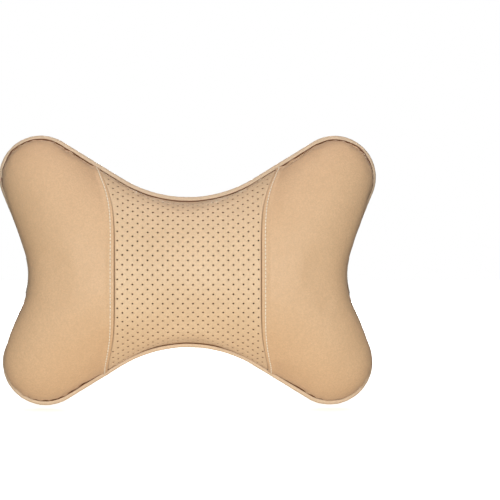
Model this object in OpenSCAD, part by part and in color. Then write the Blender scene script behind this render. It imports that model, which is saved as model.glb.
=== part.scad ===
// Bone-shaped neck pillow with an elastic strap that holds it to a car headrest.
// The front faces -Y, the strap is at the back, +Z is up. Millimetres.
// The origin is in the gap between the back and the strap, where the headrest goes.

/* [Outline] */
// Distance from the middle to the centre of each upper lobe
upper_lobe_x = 109.2; // [105:0.1:112]
// Height of the upper lobes' centres above the middle
upper_lobe_z = 68.7; // [66:0.1:72]
// Radius of the upper lobes
upper_lobe_r = 30.9; // [29:0.1:32]
// Distance from the middle to the centre of each lower lobe
lower_lobe_x = 105.7; // [102:0.1:110]
// Depth of the lower lobes' centres below the middle
lower_lobe_z = 68.9; // [66:0.1:72]
// Radius of the lower lobes
lower_lobe_r = 32; // [30:0.1:33]
// Height of the lowest point of the top hollow
top_hollow_z = 54; // [52:0.5:56]
// Radius of the top hollow
top_hollow_r = 93; // [90:1:96]
// Depth of the highest point of the bottom hollow
bottom_hollow_z = 58.1; // [56:0.1:60]
// Radius of the bottom hollow
bottom_hollow_r = 95; // [92:1:98]
// Half of the width at the waist, piping included
waist_x = 116; // [114:0.5:118]
// Depth of the waist below the middle
waist_z = 5; // [0:0.1:6]
// Radius of the waist's hollow
waist_r = 45; // [42:1:48]

/* [Stuffing] */
// How far the front swells out of the seam
front_rise = 45; // [40:1:48]
// How far the back swells out of the seam
back_rise = 35; // [32:1:36]
// How much fuller the front's wings are than its middle
front_saddle = 0.35; // [0.2:0.05:0.5]
// How much fuller the back's wings are than its middle
back_saddle = 0.6; // [0.5:0.05:0.7]
// How strongly the cover bulges over the piping at the waist
overhang = 36; // [30:1:50]
// How much of that bulge sits lower than the waist's middle
overhang_lean = 0.35; // [0:0.05:0.5]

/* [Cover] */
// Distance from the middle to each front seam at mid-height
seam_x = 53.3; // [50:0.1:56]
// How much further out the front seams end at the top
seam_flare_up = 12.5; // [8:0.5:14]
// How much further out the front seams end at the bottom
seam_flare_down = 6.8; // [4:0.2:10]
// Thickness of the leather
leather_t = 1.2; // [0.8:0.1:1.2]
// Thickness of the foam behind the perforated panel
foam_t = 1; // [0.6:0.1:1]
// Thickness of the inner casing's fabric
casing_t = 0.5; // [0.3:0.1:0.5]
// Radius of the piping
piping_r = 2.2; // [2:0.1:2.4]
// Radius of the cord inside the piping
cord_r = 1.4; // [1.2:0.1:1.5]
// Length of one stitch
stitch_len = 2.2; // [1.8:0.1:2.4]
// Distance from one stitch to the next
stitch_pitch = 3; // [2.8:0.1:4]
// Radius of the thread
thread_r = 0.3; // [0.2:0.05:0.35]

/* [Zipper] */
// Height of the zipper's middle line
zip_z = 27; // [25:0.5:28]
// Length of the rows of teeth
zip_len = 130; // [110:5:130]
// Lean of the zipper away from upright
zip_lean = 27; // [25:0.5:28]
// Half of the opening between the leather edges
zip_gap = 4.5; // [4.2:0.1:5]
// Width of each zipper tape
tape_w = 9.5; // [8:0.5:10]

/* [Strap] */
// Width of the elastic strap
strap_w = 30; // [24:1:32]
// Thickness of the elastic strap
strap_t = 1.6; // [1.2:0.1:1.8]
// Length of the strap's straight middle
strap_mid = 120; // [110:2:124]
// Gap between the back and the strap's middle
strap_gap = 10; // [9:0.5:12]

/* [Hidden] */

leather = [0.86, 0.72, 0.56];
pale_thread = [0.95, 0.90, 0.82];
webbing = [0.78, 0.66, 0.52];
white_cloth = [0.93, 0.93, 0.90];
metal = [0.72, 0.70, 0.66];

fit_gap = 0.3;            // clearance between neighbours that only lie together
seam_inset = 3.7;         // from the piping's outer edge to the panels' edge
seam_half = 1.9;          // half of the gap in the seam that the piping fills
inner_inset = 8.6;        // from the piping's outer edge to the inner casing's edge
casing_depth = 2.8;       // how far the casing lies under the leather
zip_room = 3;             // how much deeper the inside lies under the zipper
zip_flat_x = zip_len / 2 + 13;  // the back is flat this far to each side for the zipper
zip_flat_z = 10;          // and this far up and down
fade_x = 22;              // over these distances it swells again
fade_z = 10.5;
seam_reach = 74;          // height at which the front seams meet the piping
mean_half_height = 62;    // about half of the height, for finding places on the surface
mean_half_width = 125;    // about half of the width, for the same
mid_y = -(back_rise + seam_half + strap_gap / 2);  // the seam's plane
columns = 12;             // grid steps across one front panel
rows = 22;                // grid steps from the bottom to the top

upper_lobe = [[-upper_lobe_x, upper_lobe_z], upper_lobe_r];
lower_lobe = [[-lower_lobe_x, -lower_lobe_z], lower_lobe_r];
top_hollow = [[0, top_hollow_z + top_hollow_r], top_hollow_r];
bottom_hollow = [[0, -bottom_hollow_z - bottom_hollow_r], bottom_hollow_r];
waist_hollow = [[-waist_x - waist_r, -waist_z], waist_r];

// ---- Outline: lobes and hollows joined by straight stretches ----

function polar(centre, r, angle) = centre + r * [cos(angle), sin(angle)];
function flip(p) = [-p[0], p[1]];
function mix(a, b, t) = a + (b - a) * t;
function clamp01(t) = min(1, max(0, t));
function smooth(t) = clamp01(t) * clamp01(t) * (3 - 2 * clamp01(t));
function unit(v) = v / norm(v);

// A circle set in or out by the inset: lobes shrink and hollows grow.
function lobe_at(lobe, inset) = [lobe[0], lobe[1] - inset];
function hollow_at(hollow, inset) = [hollow[0], hollow[1] + inset];

// Direction of the normal on the straight stretch between a lobe and a hollow.
function normal_angle(lobe, hollow, turn) =
    let (d = hollow[0] - lobe[0])
    atan2(d[1], d[0]) + turn * acos((lobe[1] + hollow[1]) / norm(d));

// The point a share f of the way from a lobe's tip to the middle of a hollow.
function half_edge(lobe, hollow, turn, tip, finish, f) =
    let (
        n = normal_angle(lobe, hollow, turn),
        a = polar(lobe[0], lobe[1], n),
        b = polar(hollow[0], hollow[1], n + 180),
        lobe_len = lobe[1] * abs(tip - n) * PI / 180,
        line_len = norm(b - a),
        hollow_len = hollow[1] * abs(finish - n - 180) * PI / 180,
        s = f * (lobe_len + line_len + hollow_len)
    )
    s < lobe_len ? polar(lobe[0], lobe[1], mix(tip, n, s / lobe_len))
    : s < lobe_len + line_len ? mix(a, b, (s - lobe_len) / line_len)
    : polar(hollow[0], hollow[1], mix(n + 180, finish, (s - lobe_len - line_len) / hollow_len));

// The left half of each edge; f runs from the lobe's tip to the middle of the edge.
function top_half(f, inset) =
    half_edge(lobe_at(upper_lobe, inset), hollow_at(top_hollow, inset), 1, 135, 270, f);
function bottom_half(f, inset) =
    half_edge(lobe_at(lower_lobe, inset), hollow_at(bottom_hollow, inset), -1, -135, 90, f);
function upper_side(f, inset) =
    half_edge(lobe_at(upper_lobe, inset), hollow_at(waist_hollow, inset), -1, -225, 0, f);
function lower_side(f, inset) =
    half_edge(lobe_at(lower_lobe, inset), hollow_at(waist_hollow, inset), 1, 225, 360, f);

function top_edge(u, inset) =
    u < 0 ? top_half(1 + u, inset) : flip(top_half(1 - u, inset));
function bottom_edge(u, inset) =
    u < 0 ? bottom_half(1 + u, inset) : flip(bottom_half(1 - u, inset));
function side_edge(v, inset) =
    v > 0 ? upper_side(1 - v, inset) : lower_side(1 + v, inset);

// The whole outline as a ring; t runs from 0 to 1, clockwise from the upper left lobe.
function outline(t, inset) =
    let (q = t * 4, s = q - floor(q), side = floor(q))
    side == 0 ? top_edge(2 * s - 1, inset)
    : side == 1 ? flip(side_edge(1 - 2 * s, inset))
    : side == 2 ? bottom_edge(1 - 2 * s, inset)
    : side_edge(2 * s - 1, inset);

// The place in the seam's plane of (u, v), both from -1 to 1, between the four edges.
function plan(u, v, inset) =
    let (
        top = top_edge(u, inset),
        bottom = bottom_edge(u, inset),
        left = side_edge(v, inset),
        high = top_half(0, inset),
        low = bottom_half(0, inset)
    )
    mix(bottom, top, (1 + v) / 2) + mix(left, flip(left), (1 + u) / 2)
    - mix(mix(low, high, (1 + v) / 2), flip(mix(low, high, (1 + v) / 2)), (1 + u) / 2);

// The v at which the plan reaches height z on the line u.
function v_at(u, z, inset, v = 0, steps = 6) =
    steps == 0 ? v
    : v_at(u, z, inset, v + (z - plan(u, v, inset)[1]) / mean_half_height, steps - 1);

// ---- Swollen surface: angles a across and b up, from -90 to 90 ----

// How far the surface stands out of the seam's plane.
function swell(a, b, rise, saddle) =
    rise * cos(a) * sqrt(1 + pow(sin(a), 2)) * (1 + saddle * pow(sin(a), 2)) * cos(b);

// The zipper lies straight: near it, the back follows a leaning plane.
function zip_plane(z) = zip_base + (zip_z - z) * tan(zip_lean);
zip_base = seam_half + swell(0, asin(v_at(0, zip_z, seam_inset)), back_rise, back_saddle);
function zip_pull_in(x, z) =
    smooth((zip_flat_x + fade_x - abs(x)) / fade_x)
    * smooth((zip_flat_z + fade_z - abs(z - zip_z)) / fade_z);

// The surface at a drop below the leather, 0 for the leather's outer face.
function skin_at(a, b, back, inset, drop) =
    let (
        p = plan(sin(a), sin(b), inset),
        bulge = overhang * (1 - overhang_lean * sin(b)),
        x = p[0] + bulge * cos(a) * pow(sin(a), 5) * pow(cos(b), 2),
        rise = (back ? back_rise : front_rise) - drop,
        y = seam_half + swell(a, b, rise, back ? back_saddle : front_saddle),
        flat = back ? zip_pull_in(x, p[1]) : 0,
        deep = drop > 0 ? drop + zip_room : 0
    )
    [x, mid_y + (back ? 1 : -1) * mix(y, zip_plane(p[1]) - deep / cos(zip_lean), flat), p[1]];

function normal(a, b, back, inset, drop) =
    let (
        am = min(86, max(-86, a)),
        bm = min(86, max(-86, b)),
        across = skin_at(am + 1, bm, back, inset, drop) - skin_at(am - 1, bm, back, inset, drop),
        up = skin_at(am, bm + 1, back, inset, drop) - skin_at(am, bm - 1, back, inset, drop)
    )
    unit((back ? -1 : 1) * cross(across, up));

// A point of the cover, lifted off it along its normal.
function lifted(a, b, back, lift) =
    skin_at(a, b, back, seam_inset, 0) + lift * normal(a, b, back, seam_inset, 0);

// ---- Solids from grids of points ----

function grid_faces(m, n, base, turned) = [
    for (i = [0:m - 2], j = [0:n - 2])
        let (p = base + i * n + j, q = p + n)
        for (f = [[p, p + 1, q + 1], [p, q + 1, q]])
            turned ? [f[2], f[1], f[0]] : f
];
function rim(m, n) = concat(
    [for (j = [0:n - 1]) j],
    [for (i = [1:m - 1]) i * n + n - 1],
    [for (j = [1:n - 1]) m * n - 1 - j],
    [for (i = [1:m - 2]) (m - 1 - i) * n]
);
function rim_faces(m, n, turned) =
    let (r = rim(m, n), k = len(r), c = m * n)
    [
        for (i = [0:k - 1])
            let (p = r[i], q = r[(i + 1) % k])
            for (f = [[p, c + p, c + q], [p, c + q, q]])
                turned ? [f[2], f[1], f[0]] : f
    ];

// A solid between two grids of the same size: an outer one and an inner one.
module between(outer, inner, turned) {
    m = len(outer);
    n = len(outer[0]);
    polyhedron(
        points = [for (row = outer) each row, for (row = inner) each row],
        faces = concat(
            grid_faces(m, n, 0, turned),
            grid_faces(m, n, m * n, !turned),
            rim_faces(m, n, turned)
        ),
        convexity = 8
    );
}

// A closed ring swept from one section per station.
module ring(sections) {
    m = len(sections);
    n = len(sections[0]);
    polyhedron(
        points = [for (s = sections) each s],
        faces = [
            for (i = [0:m - 1], j = [0:n - 1])
                let (
                    p = i * n + j,
                    q = i * n + (j + 1) % n,
                    r = ((i + 1) % m) * n + (j + 1) % n,
                    s = ((i + 1) % m) * n + j
                )
                for (f = [[p, q, r], [p, r, s]]) f
        ],
        convexity = 8
    );
}

// ---- Front cover ----

// How far from the middle the front seams lie at a height: straight, but flared at both ends.
function seam_place(z) =
    seam_x + (z > 0 ? seam_flare_up : seam_flare_down) * pow(z / seam_reach, 4);

// The angle across of the front seams at the angle b.
function seam_u(b, u = 0.45, steps = 6) =
    let (p = skin_at(asin(u), b, false, seam_inset, 0))
    steps == 0 ? u : seam_u(b, u + (seam_place(p[2]) - p[0]) / mean_half_width, steps - 1);
function seam_a(b) = asin(seam_u(b));

// The middle panel is side 0, the wings are sides -1 and 1.
module front_strip(side) {
    function a(i, b) =
        side == 0 ? mix(-1, 1, i / columns) * seam_a(b)
        : side * mix(seam_a(b), 90, i / columns);
    function b(j) = mix(-90, 90, j / rows);
    function layer(lift) = [
        for (i = [0:columns]) [for (j = [0:rows]) lifted(a(i, b(j)), b(j), false, lift)]
    ];
    between(layer(0), layer(-leather_t), side == -1);
}

module front_center_panel() { color(leather) front_strip(0); }
module front_left_panel() { color(leather) front_strip(-1); }
module front_right_panel() { color(leather) front_strip(1); }

// A straight stitch from one point to the next.
module stitch(p, q, r) {
    d = q - p;
    translate(p)
        rotate([0, acos(d[2] / norm(d)), atan2(d[1], d[0])])
            cylinder(h = norm(d), r = r, $fn = 16);
}

// The point at distance s along a path whose running lengths are given.
function along(path, run, s) =
    let (k = max([for (i = [0:len(run) - 2]) if (run[i] <= s) i]))
    mix(path[k], path[k + 1], (s - run[k]) / (run[k + 1] - run[k]));

// How high above the leather the axis of a thread lies.
thread_lift = thread_r + 0.1;

// Stitches along one front seam, side -1 or 1, lying on the wing.
module front_topstitch(side) {
    steps = 120;
    end_b = 84;
    beside = 1.7;
    path = [for (k = [0:steps])
        let (b = mix(-end_b, end_b, k / steps))
        lifted(side * (seam_a(b) + beside), b, false, thread_lift)];
    gaps = [for (k = [1:steps]) norm(path[k] - path[k - 1])];
    run = [for (k = 0, s = 0; k <= steps; s = s + (k < steps ? gaps[k] : 0), k = k + 1) s];
    for (s = [0:stitch_pitch:run[steps] - stitch_pitch])
        stitch(along(path, run, s), along(path, run, s + stitch_len), thread_r);
}

module front_left_topstitch() { color(pale_thread) front_topstitch(-1); }
module front_right_topstitch() { color(pale_thread) front_topstitch(1); }

// The foam lies behind the perforated panel and stops a little short of its seams.
module center_foam() {
    end_b = 80;
    short = 1;
    function a(i, b) = mix(-1, 1, i / columns) * (seam_a(b) - short);
    function b(j) = mix(-end_b, end_b, j / rows);
    function layer(lift) = [
        for (i = [0:columns]) [for (j = [0:rows]) lifted(a(i, b(j)), b(j), false, lift)]
    ];
    front = -leather_t - fit_gap;
    color(white_cloth) between(layer(front), layer(front - foam_t), false);
}

// ---- Piping ----

stations = 108;

// A ring around the outline whose section is a list of [inset, y] points.
module around(section) {
    ring([for (i = [0:stations - 1])
        [for (s = section)
            let (p = outline(i / stations, s[0]))
            [p[0], mid_y + s[1], p[1]]]]);
}

// A point of the piping's section: the angle t is 0 towards the panels.
function piping_point(r, t) = [piping_r + r * cos(t), r * sin(t)];

// The cover wraps the cord and ends as a flange of two layers that the seam holds.
module piping_cover() {
    flange_end = 8;
    slit = 0.1;
    layer = 0.6;
    mouth = 18;
    bore_r = cord_r + 0.1;
    slit_angle = asin(slit / bore_r);
    color(leather) around(concat(
        [for (k = [0:10]) piping_point(piping_r, mix(mouth, 360 - mouth, k / 10))],
        [[flange_end, -slit - layer], [flange_end, -slit]],
        [for (k = [0:8]) piping_point(bore_r, mix(360 - slit_angle, slit_angle, k / 8))],
        [[flange_end, slit], [flange_end, slit + layer]]
    ));
}

module piping_cord() {
    sides = 8;
    color(white_cloth) around([for (k = [0:sides - 1]) piping_point(cord_r, 360 * k / sides)]);
}

// ---- Back cover, split along the zipper's line ----

// Half of the opening in the back cover at x: it closes past the zipper's ends.
function opening_half(x) =
    mix(fit_gap / 2, zip_gap * cos(zip_lean), smooth((zip_len / 2 + 8 - abs(x)) / 6));

// Angles across of the back's grid lines, from the middle out: two lie at the zipper's end.
back_angles = [0, 9, 18, 26, 31.5, 35, 38, 43, 49, 57, 66, 77, 90];

// The upper panel is up 1, the lower panel is up -1. Its first strip is the flat one.
module back_part(up) {
    half = len(back_angles) - 1;
    m = 2 * half;
    n = rows / 2;
    function a(i) = sign(i - half) * back_angles[abs(i - half)];
    function edge_b(u) =
        let (v = v_at(u, zip_z, seam_inset), x = plan(u, v, seam_inset)[0])
        asin(v_at(u, zip_z + up * opening_half(x), seam_inset));
    function flat_b(u) = asin(v_at(u, zip_z + up * zip_flat_z, seam_inset));
    function b(i, j) =
        j == 0 ? edge_b(sin(a(i))) : mix(flat_b(sin(a(i))), up * 90, (j - 1) / (n - 1));
    function layer(lift) = [
        for (i = [0:m]) [for (j = [0:n]) lifted(a(i), b(i, j), true, lift)]
    ];
    between(layer(0), layer(-leather_t), up == 1);
}

module back_upper_panel() { color(leather) back_part(1); }
module back_lower_panel() { color(leather) back_part(-1); }

// ---- Inside ----

inside_columns = 24;
inside_rows = 28;

// A layer of the inside, a distance deeper than the casing's outer face.
function inner_layer(back, deeper) = [
    for (i = [0:inside_columns]) [
        for (j = [0:inside_rows])
            skin_at(mix(-90, 90, i / inside_columns), mix(-90, 90, j / inside_rows),
                back, inner_inset + deeper, casing_depth + deeper)
    ]
];

module casing_half(back) {
    color(white_cloth) between(inner_layer(back, 0), inner_layer(back, casing_t), back);
}
module inner_casing_front() { casing_half(false); }
module inner_casing_back() { casing_half(true); }

module fiber_fill() {
    deeper = casing_t + fit_gap;
    color(white_cloth) between(inner_layer(false, deeper), inner_layer(true, deeper), false);
}

// ---- Zipper, in its own frame: x along it, y out of the back, z up the back ----

module on_zipper() {
    translate([0, mid_y + zip_base, zip_z]) rotate([zip_lean, 0, 0]) children();
}

tape_y = -leather_t - fit_gap;  // outer face of the tapes
tape_t = 0.6;
tape_spare = 6;                 // how far the tapes run past the rows of teeth
tooth_in = 0.9;                 // inner edge of each row of teeth
tooth_out = 3.2;                // outer edge of each row of teeth
tooth_top = 0.4;                // how far the teeth stand out of the leather
tooth_pitch = 2.5;
slide_gap = 0.25;               // clearance around whatever slides
slider_len = 9;
slider_w = 8.4;
slider_x = zip_len / 2 - slider_len / 2 - 1;  // closed
plate_t = 0.9;
plate_y = tooth_top + slide_gap;              // underside of the slider's upper plate
under_y = tape_y - tape_t - slide_gap;        // top of the slider's lower plate
deck_y = plate_y + plate_t;                   // top of the slider's upper plate
pin_y = deck_y + 1.1;                         // axis of the pull's pin

// The near edge of what spans from one distance to the other beside the middle line.
function beside(up, near, far) = up > 0 ? near : -far;

module zipper_tape(up) {
    color(webbing) on_zipper()
        translate([-zip_len / 2 - tape_spare, tape_y - tape_t, beside(up, tooth_in, tooth_in + tape_w)])
            cube([zip_len + 2 * tape_spare, tape_t, tape_w]);
}
module zipper_upper_tape() { zipper_tape(1); }
module zipper_lower_tape() { zipper_tape(-1); }

// Each tooth is a bar with bevelled edges that stands on its tape.
module zipper_teeth(up) {
    tooth_r = 0.75;
    bevel = 0.4;
    tall = tooth_top - tape_y;
    first = -zip_len / 2 + 6 + (up > 0 ? 0 : tooth_pitch / 2);
    last = zip_len / 2 - slider_len - 2;
    color(webbing) on_zipper()
        for (x = [first:tooth_pitch:last])
            translate([x, tape_y, beside(up, tooth_in, tooth_out)])
                linear_extrude(tooth_out - tooth_in)
                    polygon([[-tooth_r, 0], [tooth_r, 0], [tooth_r, tall - bevel],
                        [tooth_r - bevel, tall], [bevel - tooth_r, tall], [-tooth_r, tall - bevel]]);
}
module zipper_upper_teeth() { zipper_teeth(1); }
module zipper_lower_teeth() { zipper_teeth(-1); }

module zipper_topstitch(up) {
    from_edge = 2.2;
    color(pale_thread) on_zipper()
        for (x = [-zip_len / 2:stitch_pitch:zip_len / 2 - stitch_len])
            translate([x, thread_lift, up * (zip_gap + from_edge)])
                rotate([0, 90, 0])
                    cylinder(h = stitch_len, r = thread_r, $fn = 16);
}
module zipper_upper_topstitch() { zipper_topstitch(1); }
module zipper_lower_topstitch() { zipper_topstitch(-1); }

// A metal clip on each tape, past the closed end.
module zipper_top_stops() {
    clip_len = 2.4;
    clip_t = 1.6;
    color(metal) on_zipper()
        for (up = [-1, 1])
            translate([zip_len / 2 + 1, tape_y, beside(up, tooth_in, tooth_out)])
                cube([clip_len, clip_t, tooth_out - tooth_in]);
}

// One clip across both tapes, past the open end.
module zipper_bottom_stop() {
    clip_len = 2.6;
    clip_t = 1.8;
    color(metal) on_zipper()
        translate([-zip_len / 2 + 1, tape_y, -tooth_out])
            cube([clip_len, clip_t, tooth_out * 2]);
}

// A slider plate, widest near its mouth.
module slider_plate(low_y) {
    tail_w = slider_w * 0.76;
    mouth_w = slider_w * 0.84;
    widest_x = slider_len * 0.1;
    translate([slider_x, low_y + plate_t, 0])
        rotate([90, 0, 0])
            linear_extrude(plate_t)
                polygon([[-slider_len / 2, -tail_w / 2], [widest_x, -slider_w / 2],
                    [slider_len / 2, -mouth_w / 2], [slider_len / 2, mouth_w / 2],
                    [widest_x, slider_w / 2], [-slider_len / 2, tail_w / 2]]);
}

module zipper_slider() {
    sink = 0.1;         // how far joined pieces reach into each other
    post_t = 1.2;
    post_back = 0.5;    // where the post starts, towards the mouth
    rail_t = 0.7;
    rail_len = slider_len - 2.4;
    bridge_w = 1.6;
    bridge_leg = 1.1;
    bridge_span = 6.2;
    bridge_bar = 0.9;
    bridge_room = 1.9;  // room under the bridge for the pull's pin
    color(metal) on_zipper() {
        slider_plate(plate_y);
        slider_plate(under_y - plate_t);
        translate([slider_x + post_back, under_y - sink, -post_t / 2])
            cube([slider_len / 2 - 1, plate_y - under_y + 2 * sink, post_t]);
        for (up = [-1, 1])
            translate([slider_x - rail_len / 2, plate_y - rail_t + sink,
                    beside(up, tooth_out + slide_gap, tooth_out + slide_gap + rail_t)])
                cube([rail_len, rail_t, rail_t]);
        translate([slider_x - bridge_span / 2, deck_y, -bridge_w / 2]) {
            for (x = [0, bridge_span - bridge_leg])
                translate([x, -sink, 0]) cube([bridge_leg, bridge_room + 2 * sink, bridge_w]);
            translate([0, bridge_room, 0]) cube([bridge_span, bridge_bar, bridge_w]);
        }
    }
}

// Pull: a pin under the bridge, two arms, and a tab with a hole. It lies towards -X.
module zipper_pull() {
    pin_r = 0.6;
    pin_half = 2.6;
    arm_in = 1.4;
    arm_len = 7;
    tab_start = 6;
    tab_len = 17;
    tab_w = 6.4;
    tab_x = -tab_start - tab_len + tab_w / 2;
    color(metal) on_zipper()
        translate([slider_x, pin_y, 0]) {
            translate([0, 0, -pin_half]) cylinder(h = 2 * pin_half, r = pin_r, $fn = 32);
            for (up = [-1, 1])
                translate([-arm_len, -pin_r, beside(up, arm_in, pin_half)])
                    cube([arm_len, 2 * pin_r, pin_half - arm_in]);
            translate([0, pin_r, 0])
                rotate([90, 0, 0])
                    linear_extrude(2 * pin_r)
                        difference() {
                            union() {
                                translate([tab_x, 0]) circle(d = tab_w, $fn = 48);
                                translate([tab_x, -tab_w / 2]) square([tab_len - tab_w / 2, tab_w]);
                            }
                            translate([tab_x, 0]) circle(d = tab_w * 0.42, $fn = 32);
                        }
        }
}

// ---- Strap ----

strap_in = strap_gap / 2;  // inner face of the strap's middle
strap_lift = 1.1;          // gap between a strap leg and the leather
leg_steps = 16;
leg_start = 87;            // angle at which a leg leaves the seam
leg_crest = 30;            // angle at which a leg meets the strap's middle

// The angle up at which the back reaches height z on the line a.
function height_b(a, z) = asin(v_at(sin(a), z, seam_inset));

module strap_middle() {
    color(webbing)
        translate([-strap_mid / 2, strap_in, -waist_z - strap_w / 2])
            cube([strap_mid, strap_t, strap_w]);
}

// A leg follows the back from the seam to its crest, then meets the middle face to face.
module strap_leg(side) {
    cross_steps = 4;
    leave = 0.375;  // share of the leg after which it lifts off the leather
    function spot(i, j, lift) =
        let (
            t = i / leg_steps,
            a = side * mix(leg_start, leg_crest, t),
            z = -waist_z + strap_w * (j / cross_steps - 0.5),
            p = lifted(a, height_b(a, z), true, strap_lift + lift),
            end = [side * strap_mid / 2, strap_in + lift, z]
        )
        mix([p[0], p[1], z], end, smooth((t - leave) / (1 - leave)));
    function layer(lift) = [for (i = [0:leg_steps]) [for (j = [0:cross_steps]) spot(i, j, lift)]];
    between(layer(strap_t), layer(0), side == -1);
}
module strap_left_leg() { color(webbing) strap_leg(-1); }
module strap_right_leg() { color(webbing) strap_leg(1); }

// Two rows of dense stitches hold each end of the strap down beside the seam.
module strap_bartack(side) {
    count = 12;
    pitch = 2.2;
    length = 1.7;
    lift = strap_lift + strap_t + thread_lift;
    for (a = [side * 73, side * 78], k = [0:count - 1]) {
        z = -waist_z + (k - count / 2) * pitch;
        stitch(lifted(a, height_b(a, z), true, lift), lifted(a, height_b(a, z + length), true, lift),
            thread_r);
    }
}
module strap_left_bartack() { color(pale_thread) strap_bartack(-1); }
module strap_right_bartack() { color(pale_thread) strap_bartack(1); }

front_center_panel();
front_left_panel();
front_right_panel();
front_left_topstitch();
front_right_topstitch();
center_foam();
piping_cover();
piping_cord();
back_upper_panel();
back_lower_panel();
inner_casing_front();
inner_casing_back();
fiber_fill();
zipper_upper_tape();
zipper_lower_tape();
zipper_upper_teeth();
zipper_lower_teeth();
zipper_upper_topstitch();
zipper_lower_topstitch();
zipper_top_stops();
zipper_bottom_stop();
zipper_slider();
zipper_pull();
strap_left_leg();
strap_middle();
strap_right_leg();
strap_left_bartack();
strap_right_bartack();
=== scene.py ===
"""Looks of a bone-shaped neck pillow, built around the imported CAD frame.

The cover is one smooth front and one smooth back, each a surface over two angles: a runs from
the left edge to the right edge and b from the bottom to the top, both from -90 to 90 degrees.
Shapes are worked out in millimetres and become metres when a mesh is made.
"""

import math

import bmesh
import bpy
import numpy as np
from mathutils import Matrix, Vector, geometry, kdtree


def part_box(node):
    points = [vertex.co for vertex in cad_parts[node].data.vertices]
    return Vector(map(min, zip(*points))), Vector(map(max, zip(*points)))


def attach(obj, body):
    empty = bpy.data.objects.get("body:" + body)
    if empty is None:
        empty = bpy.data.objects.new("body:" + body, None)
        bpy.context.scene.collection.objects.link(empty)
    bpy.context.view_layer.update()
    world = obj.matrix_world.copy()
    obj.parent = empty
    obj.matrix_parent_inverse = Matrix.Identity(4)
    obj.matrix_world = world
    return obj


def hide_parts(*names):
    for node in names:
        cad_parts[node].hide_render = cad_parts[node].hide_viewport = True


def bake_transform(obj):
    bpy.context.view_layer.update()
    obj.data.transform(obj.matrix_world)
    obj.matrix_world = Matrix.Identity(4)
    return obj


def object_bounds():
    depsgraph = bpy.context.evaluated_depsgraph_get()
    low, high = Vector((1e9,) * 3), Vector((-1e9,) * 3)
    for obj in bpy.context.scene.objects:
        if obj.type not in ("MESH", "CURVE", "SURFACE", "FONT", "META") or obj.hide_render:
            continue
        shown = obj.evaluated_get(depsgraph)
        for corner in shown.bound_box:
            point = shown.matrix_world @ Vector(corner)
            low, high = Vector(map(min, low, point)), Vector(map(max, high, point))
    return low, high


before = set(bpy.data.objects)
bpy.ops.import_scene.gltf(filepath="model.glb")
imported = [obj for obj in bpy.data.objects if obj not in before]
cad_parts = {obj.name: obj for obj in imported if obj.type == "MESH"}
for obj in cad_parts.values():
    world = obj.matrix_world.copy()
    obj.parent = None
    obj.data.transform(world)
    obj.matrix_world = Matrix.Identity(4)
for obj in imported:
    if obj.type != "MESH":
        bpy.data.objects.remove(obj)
cad_box = [list(corner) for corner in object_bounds()]

MM = 0.001


def node_box(name):
    """A CAD node's lowest and highest corner in millimetres."""
    low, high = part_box(name)
    return np.array(low) / MM, np.array(high) / MM


# ---------------------------------------------------------------- driving dimensions, millimetres

piping_low, piping_high = node_box("piping_cover")
strap_low, strap_high = node_box("strap_middle")
SEAM_Y = (piping_low[1] + piping_high[1]) / 2
PIPING_R = (piping_high[1] - piping_low[1]) / 2

# The outline's circles, each a centre (x, z) and a radius; the right side mirrors the left.
UPPER_LOBE = ((-109.2, 68.7), 30.9)
LOWER_LOBE = ((-105.7, -68.9), 32.0)
TOP_HOLLOW = ((0.0, 147.0), 93.0)
BOTTOM_HOLLOW = ((0.0, -153.1), 95.0)
WAIST_HOLLOW = ((-161.0, -5.0), 45.0)

# How far each face swells in the middle, and how much more towards its sides.
FRONT_RISE, FRONT_SADDLE = 45.0, 0.35
BACK_RISE, BACK_SADDLE = 35.0, 0.6
# How far the sides bulge out over the piping, and how much of that sits low.
OVERHANG, OVERHANG_LEAN = 36.0, 0.35
# The panels' edges: how far inside the outline and from the seam's plane, and how wide a band of painted
# shade the piping has in the groove there.
SEAM_INSET, SEAM_HALF, GROOVE_SHADE = 3.7, 1.9, 0.95
# The two front seams: their place, and how far they flare at a height of SEAM_REACH.
SEAM_X, SEAM_REACH = 53.3, 74.0
SEAM_FLARE_UP, SEAM_FLARE_DOWN = 12.5, 6.8
MEAN_HALF_HEIGHT, MEAN_HALF_WIDTH = 62.0, 125.0

LEATHER_T = 1.2
STITCH_PITCH = 2.75
STITCH_LEN = 2.15
STITCH_TWISTS = 1.5
THREAD_R = 0.25
HOLE_R, HOLE_DIMPLE, HOLE_SIDES = 0.52, 0.12, 14
HOLE_PITCH_X, HOLE_PITCH_UP, HOLE_RISE = 3.66, 3.56, 0.15
HOLE_TO_SEAM, HOLE_TO_RIM = 1.75, 6.0
FREE_MARGIN = 2.6

ZIP_Z = 27.0
ZIP_LEN = 130.0
ZIP_LEAN = math.radians(27)
ZIP_GAP = 4.5
ZIP_STITCH = 2.2
# The flat area round the zipper, and how wide a band it fades over.
ZIP_FLAT_X, ZIP_FLAT_Z = ZIP_LEN / 2 + 13, 10.0
ZIP_FADE_X, ZIP_FADE_Z = 22.0, 10.5

STRAP_W = strap_high[2] - strap_low[2]
STRAP_Z = (strap_high[2] + strap_low[2]) / 2
STRAP_T = strap_high[1] - strap_low[1]
STRAP_END = strap_high[0]

PUCKER_SEEDS = {"filling": 61, "left": 31, "right": 47, "middle": 71, "upper": 91, "lower": 89}

# ---------------------------------------------------------------- small helpers


def smooth(t):
    t = np.clip(t, 0, 1)
    return t * t * (3 - 2 * t)


def mix(p, q, t):
    return p + (q - p) * t


def unit(v):
    return v / np.maximum(np.linalg.norm(v, axis=-1, keepdims=True), 1e-12)


def bump(distance, width):
    """A bell of height 1 at distance 0."""
    return np.exp(-((distance / width) ** 2))


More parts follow.
